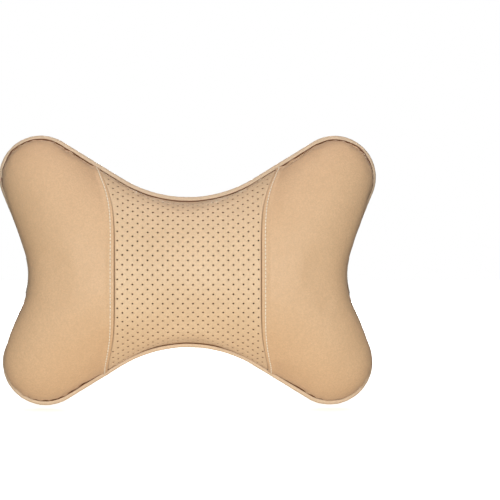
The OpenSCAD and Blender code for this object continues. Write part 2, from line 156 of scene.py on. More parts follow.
def ripple(s, seed, waves, low=0.05, high=0.25):
    """A wandering line along s, about 1 high, the same for the same seed."""
    draw = np.random.default_rng(seed)
    rates = draw.uniform(low, high, waves)
    phases = draw.uniform(0, 2 * np.pi, waves)
    return sum(np.sin(2 * np.pi * r * s + p) for r, p in zip(rates, phases)) / math.sqrt(waves)


# ---------------------------------------------------------------- outline


def on_circle(x, z, r, degrees):
    turn = np.radians(degrees)
    return np.stack([x + r * np.cos(turn), z + r * np.sin(turn)], -1)


def half_edge(lobe, hollow, turn, tip, finish, inset):
    """A function from 0..1 to points, from a lobe's tip to the middle of a hollow."""
    (lx, lz), lr = lobe
    (hx, hz), hr = hollow
    lr, hr = lr - inset, hr + inset
    n = math.degrees(math.atan2(hz - lz, hx - lx))
    n += turn * math.degrees(math.acos((lr + hr) / math.hypot(hx - lx, hz - lz)))
    start, end = on_circle(lx, lz, lr, n), on_circle(hx, hz, -hr, n)
    lobe_len = lr * abs(math.radians(tip - n))
    line_len = math.dist(start, end)
    hollow_len = hr * abs(math.radians(finish - n - 180))

    def point(f):
        s = np.asarray(f, float)[..., None] * (lobe_len + line_len + hollow_len)
        round_lobe = mix(tip, n, np.clip(s / lobe_len, 0, 1))
        round_hollow = mix(n + 180, finish, np.clip((s - lobe_len - line_len) / hollow_len, 0, 1))
        on_line = mix(start, end, np.clip((s - lobe_len) / line_len, 0, 1))
        beyond = np.where(s < lobe_len + line_len, on_line, on_circle(hx, hz, hr, round_hollow[..., 0]))
        return np.where(s < lobe_len, on_circle(lx, lz, lr, round_lobe[..., 0]), beyond)

    return point


FLIP = np.array([-1.0, 1.0])


class Outline:
    """The pillow's outline set in by an inset, as four edges between the lobes' tips."""

    known = {}

    def __init__(self, inset):
        self.top_half = half_edge(UPPER_LOBE, TOP_HOLLOW, 1, 135, 270, inset)
        self.bottom_half = half_edge(LOWER_LOBE, BOTTOM_HOLLOW, -1, -135, 90, inset)
        self.upper_side = half_edge(UPPER_LOBE, WAIST_HOLLOW, -1, -225, 0, inset)
        self.lower_side = half_edge(LOWER_LOBE, WAIST_HOLLOW, 1, 225, 360, inset)

    @classmethod
    def at(cls, inset):
        if inset not in cls.known:
            cls.known[inset] = cls(inset)
        return cls.known[inset]

    def across(self, half, u):
        points = half(1 - abs(u))
        return np.where((u < 0)[..., None], points, points * FLIP)

    def left(self, v):
        return np.where((v > 0)[..., None], self.upper_side(1 - abs(v)), self.lower_side(1 - abs(v)))

    def ring(self, t):
        """Points of the whole outline; t runs from 0 to 1, clockwise from the upper left lobe."""
        t = np.mod(t, 1) * 4
        side, s = np.floor(t), (t - np.floor(t)) * 2 - 1
        choices = (self.across(self.top_half, s), self.left(-s) * FLIP,
                   self.across(self.bottom_half, -s), self.left(s))
        return sum(np.where((side == k)[..., None], choices[k], 0) for k in range(4))

    def plan(self, u, v):
        """The place in the seam's plane of (u, v), both from -1 to 1, between the four edges."""
        u, v = np.broadcast_arrays(np.asarray(u, float), np.asarray(v, float))
        top, bottom = self.across(self.top_half, u), self.across(self.bottom_half, u)
        left = self.left(v)
        up, over = ((1 + v) / 2)[..., None], ((1 + u) / 2)[..., None]
        corner = mix(self.bottom_half(0.0), self.top_half(0.0), up)
        return mix(bottom, top, up) + mix(left, left * FLIP, over) - mix(corner, corner * FLIP, over)


def v_at(u, z, inset=SEAM_INSET):
    """The v at which the plan reaches height z on the line u."""
    u, z = np.broadcast_arrays(np.asarray(u, float), np.asarray(z, float))
    v = np.zeros(u.shape)
    for _ in range(8):
        v = v + (z - Outline.at(inset).plan(u, v)[..., 1]) / MEAN_HALF_HEIGHT
    return v


# ---------------------------------------------------------------- swollen faces


def swell(a, b, rise, saddle):
    s = np.sin(a)
    return rise * np.cos(a) * np.sqrt(1 + s**2) * (1 + saddle * s**2) * np.cos(b)


ZIP_BASE = SEAM_HALF + float(swell(0, np.arcsin(v_at(0, ZIP_Z)), BACK_RISE, BACK_SADDLE))
ZIP_ROOM = 3.0


def zip_pull_in(x, z):
    beside = smooth((ZIP_FLAT_X + ZIP_FADE_X - abs(x)) / ZIP_FADE_X)
    return beside * smooth((ZIP_FLAT_Z + ZIP_FADE_Z - abs(z - ZIP_Z)) / ZIP_FADE_Z)


def face_point(a, b, back, inset=SEAM_INSET, drop=0.0):
    """A point of the front or the back, at a drop below the leather's outer face."""
    a, b = np.radians(a), np.radians(b)
    p = Outline.at(inset).plan(np.sin(a), np.sin(b))
    bulge = OVERHANG * (1 - OVERHANG_LEAN * np.sin(b))
    x = p[..., 0] + bulge * np.cos(a) * np.sin(a) ** 5 * np.cos(b) ** 2
    z = p[..., 1]
    rise, saddle = (BACK_RISE, BACK_SADDLE) if back else (FRONT_RISE, FRONT_SADDLE)
    y = SEAM_HALF + swell(a, b, rise - drop, saddle)
    if back:
        deep = drop + ZIP_ROOM if drop else 0.0
        plane = ZIP_BASE + (ZIP_Z - z) * math.tan(ZIP_LEAN) - deep / math.cos(ZIP_LEAN)
        y = mix(y, plane, zip_pull_in(x, z))
    return np.stack([x, SEAM_Y + (1 if back else -1) * y, z], -1)


def seam_a(b):
    """The angle across of the right front seam at the angle b: straight, but flared at both ends."""
    b = np.asarray(b, float)
    u = np.full(b.shape, 0.45)
    for _ in range(8):
        p = face_point(np.degrees(np.arcsin(u)), b, False)
        flare = np.where(p[..., 2] > 0, SEAM_FLARE_UP, SEAM_FLARE_DOWN)
        place = SEAM_X + flare * (p[..., 2] / SEAM_REACH) ** 4
        u = u + (place - p[..., 0]) / MEAN_HALF_WIDTH
    return np.degrees(np.arcsin(u))


def cubic_weights(t):
    return (
        -0.5 * t + t**2 - 0.5 * t**3,
        1 - 2.5 * t**2 + 1.5 * t**3,
        0.5 * t + 2 * t**2 - 1.5 * t**3,
        -0.5 * t**2 + 0.5 * t**3,
    )


class Face:
    """The front or the back as a grid of points, read smoothly in between."""

    STEP = 1.5
    GHOST = 3

    def __init__(self, back):
        self.back = back
        reach = 90 + self.GHOST * self.STEP
        self.angles = np.arange(-reach, reach + 0.01, self.STEP)
        grid_a, grid_b = np.meshgrid(self.angles, self.angles, indexing="ij")
        self.points = face_point(grid_a, grid_b, back)

    def at(self, a, b):
        a, b = np.broadcast_arrays(np.asarray(a, float), np.asarray(b, float))
        fa, fb = (a - self.angles[0]) / self.STEP, (b - self.angles[0]) / self.STEP
        ia = np.clip(np.floor(fa).astype(int), 1, len(self.angles) - 3)
        ib = np.clip(np.floor(fb).astype(int), 1, len(self.angles) - 3)
        wa, wb = cubic_weights(fa - ia), cubic_weights(fb - ib)
        out = 0
        for k in range(4):
            for m in range(4):
                out = out + (wa[k] * wb[m])[..., None] * self.points[ia + k - 1, ib + m - 1]
        return out

    def normal(self, a, b):
        a, b = np.clip(a, -86, 86), np.clip(b, -86, 86)
        across = self.at(a + 1, b) - self.at(a - 1, b)
        up = self.at(a, b + 1) - self.at(a, b - 1)
        return unit(np.cross(across, up)) * (-1 if self.back else 1)

    def lifted(self, a, b, lift):
        return self.at(a, b) + np.asarray(lift)[..., None] * self.normal(a, b)


front, back = Face(False), Face(True)

# ---------------------------------------------------------------- meshes


def linked(name, data):
    """A new object in the scene."""
    obj = bpy.data.objects.new(name, data)
    bpy.context.collection.objects.link(obj)
    return obj


class Build:
    """Collects points and faces for one mesh, with a painted shade value at each point."""

    def __init__(self):
        self.points, self.faces, self.shade = [], [], []

    def add(self, points, faces, shade=None):
        base = len(self.points)
        points = np.asarray(points, float).reshape(-1, 3)
        self.points.extend(points.tolist())
        self.faces.extend([tuple(base + i for i in f) for f in faces])
        self.shade.extend(np.zeros(len(points)).tolist() if shade is None else np.ravel(shade).tolist())
        return base

    def object(self, name):
        mesh = bpy.data.meshes.new(name)
        mesh.from_pydata((np.array(self.points) * MM).tolist(), [], self.faces)
        mesh.validate()
        attribute = mesh.attributes.new("shade", "FLOAT", "POINT")
        attribute.data.foreach_set("value", np.array(self.shade, np.float32))
        mesh.shade_smooth()
        return linked(name, mesh)


def grid_faces(m, n, flip=False, wrap_m=False, wrap_n=False):
    i, j = np.meshgrid(np.arange(m if wrap_m else m - 1), np.arange(n if wrap_n else n - 1), indexing="ij")
    i, j = i.ravel(), j.ravel()
    p, q = i * n + j, i * n + (j + 1) % n
    r, s = ((i + 1) % m) * n + (j + 1) % n, ((i + 1) % m) * n + j
    quads = np.stack([p, s, r, q] if flip else [p, q, r, s], -1)
    return [tuple(f) for f in quads.tolist()]


def rim_loop(m, n):
    i, j = np.arange(m), np.arange(n)
    return np.concatenate([j, i[1:] * n + n - 1, (m - 1) * n + j[::-1][1:], i[::-1][1:-1] * n])


def closed_sheet(build, outer, inner, flip=False, shade=None):
    """A solid between two grids of the same size."""
    m, n = outer.shape[:2]
    loop = rim_loop(m, n)
    after = np.roll(loop, -1)
    rim = np.stack([loop, after, after + m * n, loop + m * n], -1)
    rim = rim if flip else rim[:, ::-1]
    faces = grid_faces(m, n, flip) + [tuple(i + m * n for i in f) for f in grid_faces(m, n, not flip)]
    faces += [tuple(f) for f in rim.tolist()]
    both = np.concatenate([outer.reshape(-1, 3), inner.reshape(-1, 3)])
    if shade is not None:
        shade = np.concatenate([np.ravel(shade), np.ravel(shade)])
    build.add(both, faces, shade)


def path_frames(path, ups, closed=False):
    """Unit vectors along, beside and above each point of a path."""
    along = unit(np.roll(path, -1, 0) - np.roll(path, 1, 0) if closed else np.gradient(path, axis=0))
    beside = unit(np.cross(along, ups))
    return along, beside, unit(np.cross(beside, along))


def tube(build, path, ups, radii, sides=8, closed=False, shade=None):
    """A tube along a path; radii is one number, or one for each point and side."""
    _, beside, above = path_frames(path, ups, closed)
    turn = (np.arange(sides) * 2 * np.pi / sides)[None, :, None]
    ring = beside[:, None] * np.cos(turn) + above[:, None] * np.sin(turn)
    points = path[:, None] + ring * np.broadcast_to(radii, (len(path), sides))[..., None]
    faces = grid_faces(len(path), sides, False, closed, True)
    if not closed:
        last = (len(path) - 1) * sides
        faces += [tuple(range(sides))[::-1], tuple(last + k for k in range(sides))]
    build.add(points, faces, shade)


def run_length(path):
    return np.concatenate([[0], np.cumsum(np.linalg.norm(np.diff(path, axis=0), axis=-1))])


def run_along(grid):
    """The length run along each row of a grid of points, from 0."""
    steps = np.linalg.norm(np.diff(grid, axis=1), axis=-1)
    return np.concatenate([np.zeros((len(grid), 1)), np.cumsum(steps, axis=1)], 1)


def resample(values, path, s):
    """The values at a path's points, read at the lengths s along it."""
    run = run_length(path)
    return np.stack([np.interp(s, run, column) for column in values.T], -1)


def sewn_line(build, path, normals):
    """A row of stitches of two-ply thread; each arches up and dives into the leather at its ends."""
    total = run_length(path)[-1]
    count = int((total - STITCH_LEN) // STITCH_PITCH)
    start = (total - count * STITCH_PITCH - STITCH_LEN) / 2
    share = np.linspace(0, 1, 11)
    arch = np.sin(np.pi * share) ** 0.5 * 0.42 - 0.38
    for k in range(count + 1):
        s = start + k * STITCH_PITCH + share * STITCH_LEN
        middle, up = resample(path, path, s), unit(resample(normals, path, s))
        middle = middle + arch[:, None] * up
        _, beside, above = path_frames(middle, up)
        for ply in (0, np.pi):
            twist = ply + share * 2 * np.pi * STITCH_TWISTS
            way = beside * np.cos(twist)[:, None] + above * np.sin(twist)[:, None]
            tube(build, middle + THREAD_R * 0.75 * way, up, THREAD_R, 6)


# ---------------------------------------------------------------- filling the cover

FILL_VOXEL = 4.0
FILL_FRAMES = 20
FILL_PRESSURE = 4.0
ROOMY = 0.06
FILL_CAP = 2.4
BROAD_SWELL = 20.0


def lobe_centres():
    """The four lobes' centres in the seam's plane, each with its radius and a number."""
    for number, ((cx, cz), r) in enumerate((UPPER_LOBE, LOWER_LOBE)):
        for side in (1, -1):
            yield side * cx, cz, r, 2 * number + (side > 0)


def pucker_field(points, e, seed):
    """Small gathers that run in from the piping's seam, strongest round the lobes."""
    height = np.zeros(e.shape)
    for cx, cz, r, number in lobe_centres():
        dx, dz = points[..., 0] - cx, points[..., 2] - cz
        turn = np.arctan2(dz, dx)
        near = smooth((r + 14 - np.hypot(dx, dz)) / 16)
        strength = 0.4 if number < 2 else 0.6
        wave = ripple(turn * r, seed + number, 7, 0.055, 0.16)
        height += strength * wave * near * np.exp(-e / 6.5) * smooth(e / 1.2)
    along = ripple(points[..., 0] * 0.8 + points[..., 2] * 0.6, seed + 9, 5, 0.03, 0.09)
    return height + 0.12 * along * np.exp(-e / 7) * smooth(e / 1.2)


def kinks(s, seed):
    """A broken line along s between -1 and 1, with corners 5 to 12 mm apart."""
    draw = np.random.default_rng(seed)
    corners = np.cumsum(draw.uniform(5, 12, 60)) - 200
    return np.interp(s, corners, draw.uniform(-1, 1, 60))


def edge_shift(points):
    """How far the leather's edge lies out over the piping near each point, and the way out."""
    shift, ways = np.zeros(points.shape[:-1]), np.zeros(points.shape)
    for cx, cz, r, number in lobe_centres():
        out = points - (cx, 0, cz)
        out[..., 1] = 0
        far = np.linalg.norm(out, axis=-1)
        turn = np.arctan2(out[..., 2], out[..., 0])
        near = smooth((far - r + 12) / 8) * smooth((r + 5 - far) / 4)
        sideways = smooth((out[..., 0] * np.sign(cx) / far + 0.6) / 1.2)
        reach = 0.8 if number < 2 else -0.7
        shift += near * (reach * sideways + 0.5 * kinks(turn * r, 11 + number))
        ways += near[..., None] * out / far[..., None]
    return shift, ways


def over_piping(points, e, face):
    """Moves the leather's edge round the lobes out over the piping, in short straight stretches."""
    shift, ways = edge_shift(points)
    push = (shift * bump(e, 2.6))[..., None]
    return points + push * (ways + np.array([0, 0.45 if face.back else -0.45, 0]))


def average_near(points, values, places, width):
    """A bell-weighted mean of the values at points, read at other places."""
    parts = []
    for start in range(0, len(places), 500):
        gap = np.linalg.norm(places[start:start + 500, None] - points[None], axis=-1)
        weight = bump(gap, width) + 1e-12
        parts.append(weight @ values / weight.sum(1))
    return np.concatenate(parts)


def read_points(points):
    flat = np.empty(len(points) * 3, np.float32)
    points.foreach_get("co", flat)
    return flat.reshape(-1, 3).astype(float) / MM


def write_points(points, places):
    points.foreach_set("co", (places * MM).astype(np.float32).ravel())


def evaluated(obj):
    return bpy.data.meshes.new_from_object(obj.evaluated_get(bpy.context.evaluated_depsgraph_get()))


def cover_form():
    """The whole cover as one closed form of even small faces."""
    inner = slice(Face.GHOST, -Face.GHOST, 2)
    build = Build()
    closed_sheet(build, front.points[inner, inner], back.points[inner, inner])
    rough = build.object("cover_rough")
    remesh = rough.modifiers.new("voxels", "REMESH")
    remesh.mode, remesh.voxel_size = "VOXEL", FILL_VOXEL * MM
    form = linked("cover_form", evaluated(rough))
    bpy.data.objects.remove(rough)
    return form


def fill_cover():
    """Blows the cover up with Blender's cloth, and adds what that does to both faces.

    The cover starts a little roomy round its lobes. Its edge and its zipper are then drawn in to
    where the piping and the tapes hold them, so the spare leather gathers beside them.
    """
    form = cover_form()
    mesh = form.data
    home = read_points(mesh.vertices)
    normals = np.array([vertex.normal[:] for vertex in mesh.vertices])
    off_seam = np.clip(abs(home[:, 1] - SEAM_Y) - SEAM_HALF, 0, None)
    at_zipper = (home[:, 1] > SEAM_Y) * zip_pull_in(home[:, 0], home[:, 2])
    held = np.maximum(1 - smooth((off_seam - 0.5) / 2.5), smooth(at_zipper * 2))
    roomy = home + pucker_field(home, off_seam, PUCKER_SEEDS["filling"])[:, None] * 2 * normals
    for cx, cz, r, _ in lobe_centres():
        out = home - (cx, SEAM_Y, cz)
        out[:, 1] = 0
        near = smooth((r + 22 - np.linalg.norm(out, axis=-1)) / 24)
        roomy += ROOMY * near[:, None] * out
    write_points(mesh.vertices, roomy)
    form.shape_key_add(name="roomy")
    drawn_in = form.shape_key_add(name="drawn_in")
    write_points(drawn_in.data, home)
    for value, moment in ((0, 1), (1, FILL_FRAMES // 2)):
        drawn_in.value = value
        drawn_in.keyframe_insert("value", frame=moment)

    group = form.vertex_groups.new(name="held")
    for k in np.nonzero(held > 0.01)[0]:
        group.add([int(k)], float(held[k]), "REPLACE")
    cloth = form.modifiers.new("cloth", "CLOTH")
    cloth.collision_settings.use_collision = False
    cloth.point_cache.frame_end = FILL_FRAMES
    cloth.settings.use_pressure = True
    cloth.settings.uniform_pressure_force = FILL_PRESSURE
    cloth.settings.effector_weights.gravity = 0
    cloth.settings.bending_stiffness = 0.2
    cloth.settings.vertex_group_mass = "held"
    scene = bpy.context.scene
    for moment in range(1, FILL_FRAMES + 1):
        scene.frame_set(moment)
    filled = evaluated(form)
    push = np.sum((read_points(filled.vertices) - home) * normals, -1)
    scene.frame_set(1)
    bpy.data.objects.remove(form)
    for spare in (filled, mesh):
        bpy.data.meshes.remove(spare)

    for face in (front, back):
        mine = (home[:, 1] > SEAM_Y) == face.back
        points, near_push = home[mine], push[mine]
        folds = near_push - average_near(points, near_push, points, BROAD_SWELL)
        lift = average_near(points, folds, face.points.reshape(-1, 3), 0.75 * FILL_VOXEL)
        lift = FILL_CAP * np.tanh(lift.reshape(face.points.shape[:2]) / FILL_CAP)
        lift = lift * (1 - bump(abs(face.points[..., 0]) - 112, 24) * bump(face.points[..., 2] + 5, 42))
        fade = smooth((90 - abs(face.angles)) / 6)
        lift = lift * fade[:, None] * fade[None]
        if face.back:
            lift = lift * (1 - zip_pull_in(face.points[..., 0], face.points[..., 2]))
        grid_a, grid_b = np.meshgrid(face.angles, face.angles, indexing="ij")
        face.points = face.points + lift[..., None] * face.normal(grid_a, grid_b)


# ---------------------------------------------------------------- materials


class Nodes:
    """Short way to write a material's node tree."""

    def __init__(self, name, base, rough, **sockets):
        self.material = bpy.data.materials.new(name)
        self.material.use_nodes = True
        self.tree = self.material.node_tree
        self.shader = self.tree.nodes["Principled BSDF"]
        self.shader.inputs["Base Color"].default_value = (*base, 1)
        self.shader.inputs["Roughness"].default_value = rough
        for socket, value in sockets.items():
            self.shader.inputs[socket.replace("_", " ")].default_value = value
        self.place = self.node("ShaderNodeTexCoord").outputs["Object"]

    def node(self, kind, inputs=None, **settings):
        made = self.tree.nodes.new(kind)
        for key, value in settings.items():
            setattr(made, key, value)
        for key, value in (inputs or {}).items():
            if isinstance(value, bpy.types.NodeSocket):
                self.tree.links.new(value, made.inputs[key])
            else:
                made.inputs[key].default_value = value
        return made

    def noise(self, per_metre, detail=3.0, place=None):
        return self.node("ShaderNodeTexNoise", {"Vector": place or self.place, "Scale": per_metre,
                                                "Detail": detail}).outputs["Fac"]

    def cells(self, per_metre):
        return self.node("ShaderNodeTexVoronoi", {"Vector": self.place, "Scale": per_metre},
                         feature="DISTANCE_TO_EDGE").outputs["Distance"]

    def spread(self, value, low, high, out_low=0.0, out_high=1.0):
        return self.node("ShaderNodeMapRange", {"Value": value, "From Min": low, "From Max": high,
                                                "To Min": out_low, "To Max": out_high}).outputs["Result"]

    def math(self, operation, first, second=0.0):
        return self.node("ShaderNodeMath", {0: first, 1: second}, operation=operation).outputs[0]

    def blend(self, factor, first, second):
        made = self.node("ShaderNodeMix", {0: factor}, data_type="RGBA")
        for socket, value in ((made.inputs[6], first), (made.inputs[7], second)):
            if isinstance(value, bpy.types.NodeSocket):
                self.tree.links.new(value, socket)
            else:
                socket.default_value = (*value, 1)
        return made.outputs[2]

    def link(self, value, socket):
        self.tree.links.new(value, self.shader.inputs[socket])

    def color(self, value):
        self.link(value, "Base Color")

    def rough(self, value):
        self.link(value, "Roughness")

    def relief(self, *layers):
        """Bump layers, each a height socket and how many metres it stands for."""
        normal = None
        for height, distance in layers:
            inputs = {"Height": height, "Distance": distance, "Strength": 1.0}
            if normal is not None:
                inputs["Normal"] = normal
            normal = self.node("ShaderNodeBump", inputs).outputs["Normal"]
        self.link(normal, "Normal")

    def shade(self):
        return self.node("ShaderNodeAttribute", attribute_name="shade").outputs["Fac"]


def leather(name, base, dark):
    n = Nodes(name, base, 0.5, Specular_IOR_Level=0.42, Sheen_Weight=0.12, Sheen_Roughness=0.45)
    cloud = n.spread(n.noise(22, 4), 0.3, 0.7)
    grain = n.cells(1050)
    pores = n.spread(grain, 0.0, 0.16)
    lighter = tuple(min(1, c * 1.05) for c in base)
    deeper = tuple(c * d for c, d in zip(base, (0.93, 0.90, 0.86)))
    mottle = n.spread(n.noise(260, 3), 0.3, 0.7, 0.0, 0.4)
    tone = n.blend(n.math("ADD", n.math("MULTIPLY", cloud, 0.6), mottle), deeper, lighter)
    tone = n.blend(n.spread(pores, 0.0, 1.0, 0.22, 0.0), tone, tuple(c * 0.72 for c in base))
    tone = n.blend(n.spread(n.noise(800, 2), 0.35, 0.65, 0.0, 0.5), tone, tuple(c * 0.8 for c in base))
    # Painted shade: the mesh's shade value mixes in the dark colour, standing for shadow in seams, grooves
    # and holes.
    n.color(n.blend(n.shade(), tone, dark))
    n.rough(n.spread(n.noise(420, 2), 0.3, 0.7, 0.44, 0.58))
    n.relief((n.noise(90, 3), 0.0004), (pores, 0.00006), (n.noise(2600, 2), 0.00003))
    return n.material


def speckled(name, base, rough, per_metre, detail, dim, depth, **sockets):
    """A plain material with fine specks of a darker shade, and a relief of the same specks."""
    n = Nodes(name, base, rough, **sockets)
    specks = n.noise(per_metre, detail)
    n.color(n.blend(n.spread(specks, 0.3, 0.7), tuple(c * dim for c in base), base))
    n.relief((specks, depth))
    return n.material


def woven(name, base, per_metre, depth, stretch=(1.0, 1.0, 1.0), dark=None):
    """Cloth of crossing threads, with a darker colour of painted shade where the mesh's shade value is set.
    """
    n = Nodes(name, base, 0.78, Sheen_Weight=0.25, Sheen_Roughness=0.4)
    place = n.node("ShaderNodeMapping", {"Vector": n.place, "Scale": stretch}).outputs["Vector"]
    warp, weft = (n.node("ShaderNodeTexWave", {"Vector": place, "Scale": per_metre, "Distortion": 0.4,
                                               "Detail": 1.0}, bands_direction=way).outputs["Fac"]
                  for way in "XZ")
    weave = n.math("MULTIPLY", warp, weft)
    dirt = n.spread(n.noise(60, 3), 0.3, 0.7)
    tone = n.blend(n.spread(weave, 0.0, 0.6), tuple(c * 0.62 for c in base), base)
    tone = n.blend(n.math("MULTIPLY", dirt, 0.12), tone, tuple(c * 0.8 for c in base))
    n.color(n.blend(n.shade(), tone, dark) if dark else tone)
    n.rough(n.spread(weave, 0.0, 1.0, 0.85, 0.7))
    n.relief((weave, depth))
    return n.material


def metal(name, base, rough):
    n = Nodes(name, base, rough, Metallic=1.0)
    scratches = n.node("ShaderNodeMapping", {"Vector": n.place, "Scale": (1.0, 12.0, 12.0)}).outputs["Vector"]
    marks = n.noise(900, 3, scratches)
    n.rough(n.spread(marks, 0.3, 0.7, rough - 0.07, rough + 0.09))
    n.color(n.blend(n.spread(n.noise(300, 2), 0.3, 0.7), tuple(c * 0.92 for c in base), base))
    n.relief((marks, 0.00001))
    return n.material


def nylon(name, base):
    n = Nodes(name, base, 0.32, Specular_IOR_Level=0.5, Coat_Weight=0.15)
    n.color(n.blend(n.spread(n.noise(700, 2), 0.3, 0.7), tuple(c * 0.88 for c in base), base))
    n.rough(n.spread(n.noise(1500, 2), 0.3, 0.7, 0.26, 0.4))
    n.relief((n.noise(2500, 2), 0.00002))
    return n.material


BEIGE = (0.79, 0.54, 0.328)
PALE_BEIGE = (0.86, 0.64, 0.42)
# The brown of the painted shade in the leather's seams, grooves and holes.
PAINTED_SHADE_BROWN = (0.17, 0.055, 0.012)
SOFT_THREAD = {"Sheen_Weight": 0.3, "Sheen_Roughness": 0.4}
FLUFF = {"Sheen_Weight": 0.6, "Sheen_Roughness": 0.5}
MATERIALS = {
    "leather": leather("leather", BEIGE, PAINTED_SHADE_BROWN),
    "middle": leather("middle_leather", PALE_BEIGE, PAINTED_SHADE_BROWN),
    "piping": leather("piping_leather", (0.77, 0.60, 0.43), PAINTED_SHADE_BROWN),
    "thread": speckled("cream_thread", (0.97, 0.91, 0.78), 0.6, 5200, 3, 0.86, 0.00008, **SOFT_THREAD),
    # Nearly black, as painted shade seen through the holes.
    "foam": woven("lining_painted_shade", (0.05, 0.025, 0.012), 900, 0.0001),
    "cord": speckled("cord_fibre", (0.88, 0.86, 0.82), 0.9, 180, 6, 0.9, 0.002, **FLUFF),
    # The casing's dark colour is painted shade, warm like the light thrown by the tapes, for where it lies
    # under the zipper.
    "casing": woven("casing_cloth", (0.86, 0.86, 0.84), 1100, 0.00006, dark=(0.24, 0.145, 0.08)),
    "fill": speckled("polyester_fibre", (0.92, 0.92, 0.91), 0.9, 180, 6, 0.9, 0.002, **FLUFF),
    "tape": woven("zipper_tape", (0.60, 0.41, 0.25), 900, 0.00012),
    "teeth": nylon("nylon_coil", (0.58, 0.39, 0.23)),
    "stops": metal("pressed_stop", (0.72, 0.71, 0.68), 0.34),
    "slider": metal("plated_slider", (0.74, 0.72, 0.68), 0.24),
    "elastic": woven("woven_elastic", (0.60, 0.42, 0.26), 420, 0.00025, (0.45, 1.0, 1.0)),
}


def finish_piece(obj, slot, body, *nodes, look=None):
    """Gives a piece the material for its slot, puts it under its body, and hides the CAD nodes that it stands
    for.
    """
    obj.data.materials.append(MATERIALS[look or slot])
    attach(obj, body)
    if nodes:
        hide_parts(*nodes)
    return obj


# ---------------------------------------------------------------- front wings

LAP_H = 1.0
LAP_STITCH = 3.0
LAP_SINK = 0.42
WING_STEPS = np.array([0, 0.1, 0.3, 0.6, 1.0, 1.6, 2.2, 2.6, 2.85, 3.05, 3.3, 3.7, 4.4, 5.4, 6.8, 8.4])
WING_REST = 64


def rounded(d, r):
    """The share of its full height that an edge rounded by r has at a distance from the edge."""
    return np.sqrt(np.clip(1 - np.clip(1 - d / r, 0, 1) ** 2, 0, 1))


def lap_height(d):
    """How high the wing's folded edge stands at a distance from the seam."""
    fall = smooth((d - LAP_STITCH - 0.3) / 3.6)
    return LAP_H * rounded(d, 0.9) * (1 - fall) - LAP_SINK * bump(d - LAP_STITCH, 0.5)


def arc_angles(face, b, a_from, a_to, distances_of):
    """For each row b, the angles a at given distances along the face from a_from."""
    share = np.linspace(0, 1, 500)
    fine_a = a_from[:, None] + (a_to - a_from)[:, None] * share
    run = run_along(face.at(fine_a, np.repeat(b[:, None], len(share), 1)))
    wanted = distances_of(run[:, -1])
    return np.stack([np.interp(wanted[k], run[k], fine_a[k]) for k in range(len(b))]), wanted


def rim_painted_shade(e):
    """How much painted shade the leather has at a distance from the piping's seam."""
    return 0.95 * smooth((1.2 - e) / 0.7)


def rim_distance(face, a, b):
    """About how far a point is from the face's edge, along the leather."""
    ring = Outline.at(SEAM_INSET).ring(np.linspace(0, 1, 1200, endpoint=False))
    level = SEAM_Y + (SEAM_HALF if face.back else -SEAM_HALF)
    tree = kdtree.KDTree(len(ring))
    for k, (x, z) in enumerate(ring):
        tree.insert((x, level, z), k)
    tree.balance()
    points = face.at(a, b)
    return np.array([tree.find(p)[2] for p in points.reshape(-1, 3)]).reshape(points.shape[:-1])


def wing(side):
    """The plain panel on one side, with its folded edge at the seam, and the stitches beside it."""
    word = "left" if side < 0 else "right"
    rows = np.linspace(-90, 90, 301)

    def distances(total):
        share = (np.arange(1, WING_REST + 1) / WING_REST) ** 0.94
        tail = WING_STEPS[-1] + (total[:, None] - WING_STEPS[-1]) * share
        return np.concatenate([np.repeat(WING_STEPS[None], len(total), 0), tail], 1)

    a, d = arc_angles(front, rows, seam_a(rows), np.full(len(rows), 90.0), distances)
    b = np.repeat(rows[:, None], a.shape[1], 1)
    a = side * a
    e = rim_distance(front, a, b)
    base = over_piping(front.at(a, b), e, front)
    seam_run = run_length(front.at(side * seam_a(rows), rows))
    gather = 0.14 * np.cos(2 * np.pi * seam_run / STITCH_PITCH)[:, None] * bump(d - LAP_STITCH, 1.3)
    inner_fade = smooth(e / 3)
    height = (lap_height(d) + gather) * inner_fade + pucker_field(base, e, PUCKER_SEEDS[word])
    slope = 0.1 * ripple(seam_run, 5 + side, 6, 0.02, 0.08)[:, None] * bump(d - 9, 6)
    # Painted shade: darker along the piping's seam, at the lapped seam's edge and a little in the dip at the
    # stitches.
    shade = np.maximum(rim_painted_shade(e), 0.9 * bump(d, 0.35))
    shade = np.maximum(shade, 0.16 * bump(d - LAP_STITCH, 0.5))
    outer = base + (height + slope)[..., None] * front.normal(a, b)
    inner = base - LEATHER_T * front.normal(a, b)
    build = Build()
    closed_sheet(build, outer, inner, flip=side > 0, shade=shade)
    obj = build.object(f"cover_{word}_wing")
    finish_piece(obj, "leather", "cushion", f"front_{word}_panel")

    lines = np.linspace(-87, 87, 400)
    stitch_a, _ = arc_angles(front, lines, seam_a(lines), np.full(len(lines), 90.0),
                             lambda total: np.full((len(total), 1), LAP_STITCH))
    path_a = side * stitch_a[:, 0]
    up = front.normal(path_a, lines)
    path = front.at(path_a, lines) + (lap_height(np.full(len(lines), LAP_STITCH)) + 0.12)[:, None] * up
    sewing = Build()
    sewn_line(sewing, path, up)
    finish_piece(sewing.object(f"topstitch_{word}"), "thread", "cushion", f"front_{word}_topstitch")


# ---------------------------------------------------------------- perforated middle panel

BORDER_STEP = 1.1
RING_REACH, OUTER_REACH = 1.2, 2.1
RING = range(HOLE_SIDES)
CIRCLE = on_circle(0, 0, 1, np.arange(HOLE_SIDES) * 360 / HOLE_SIDES)


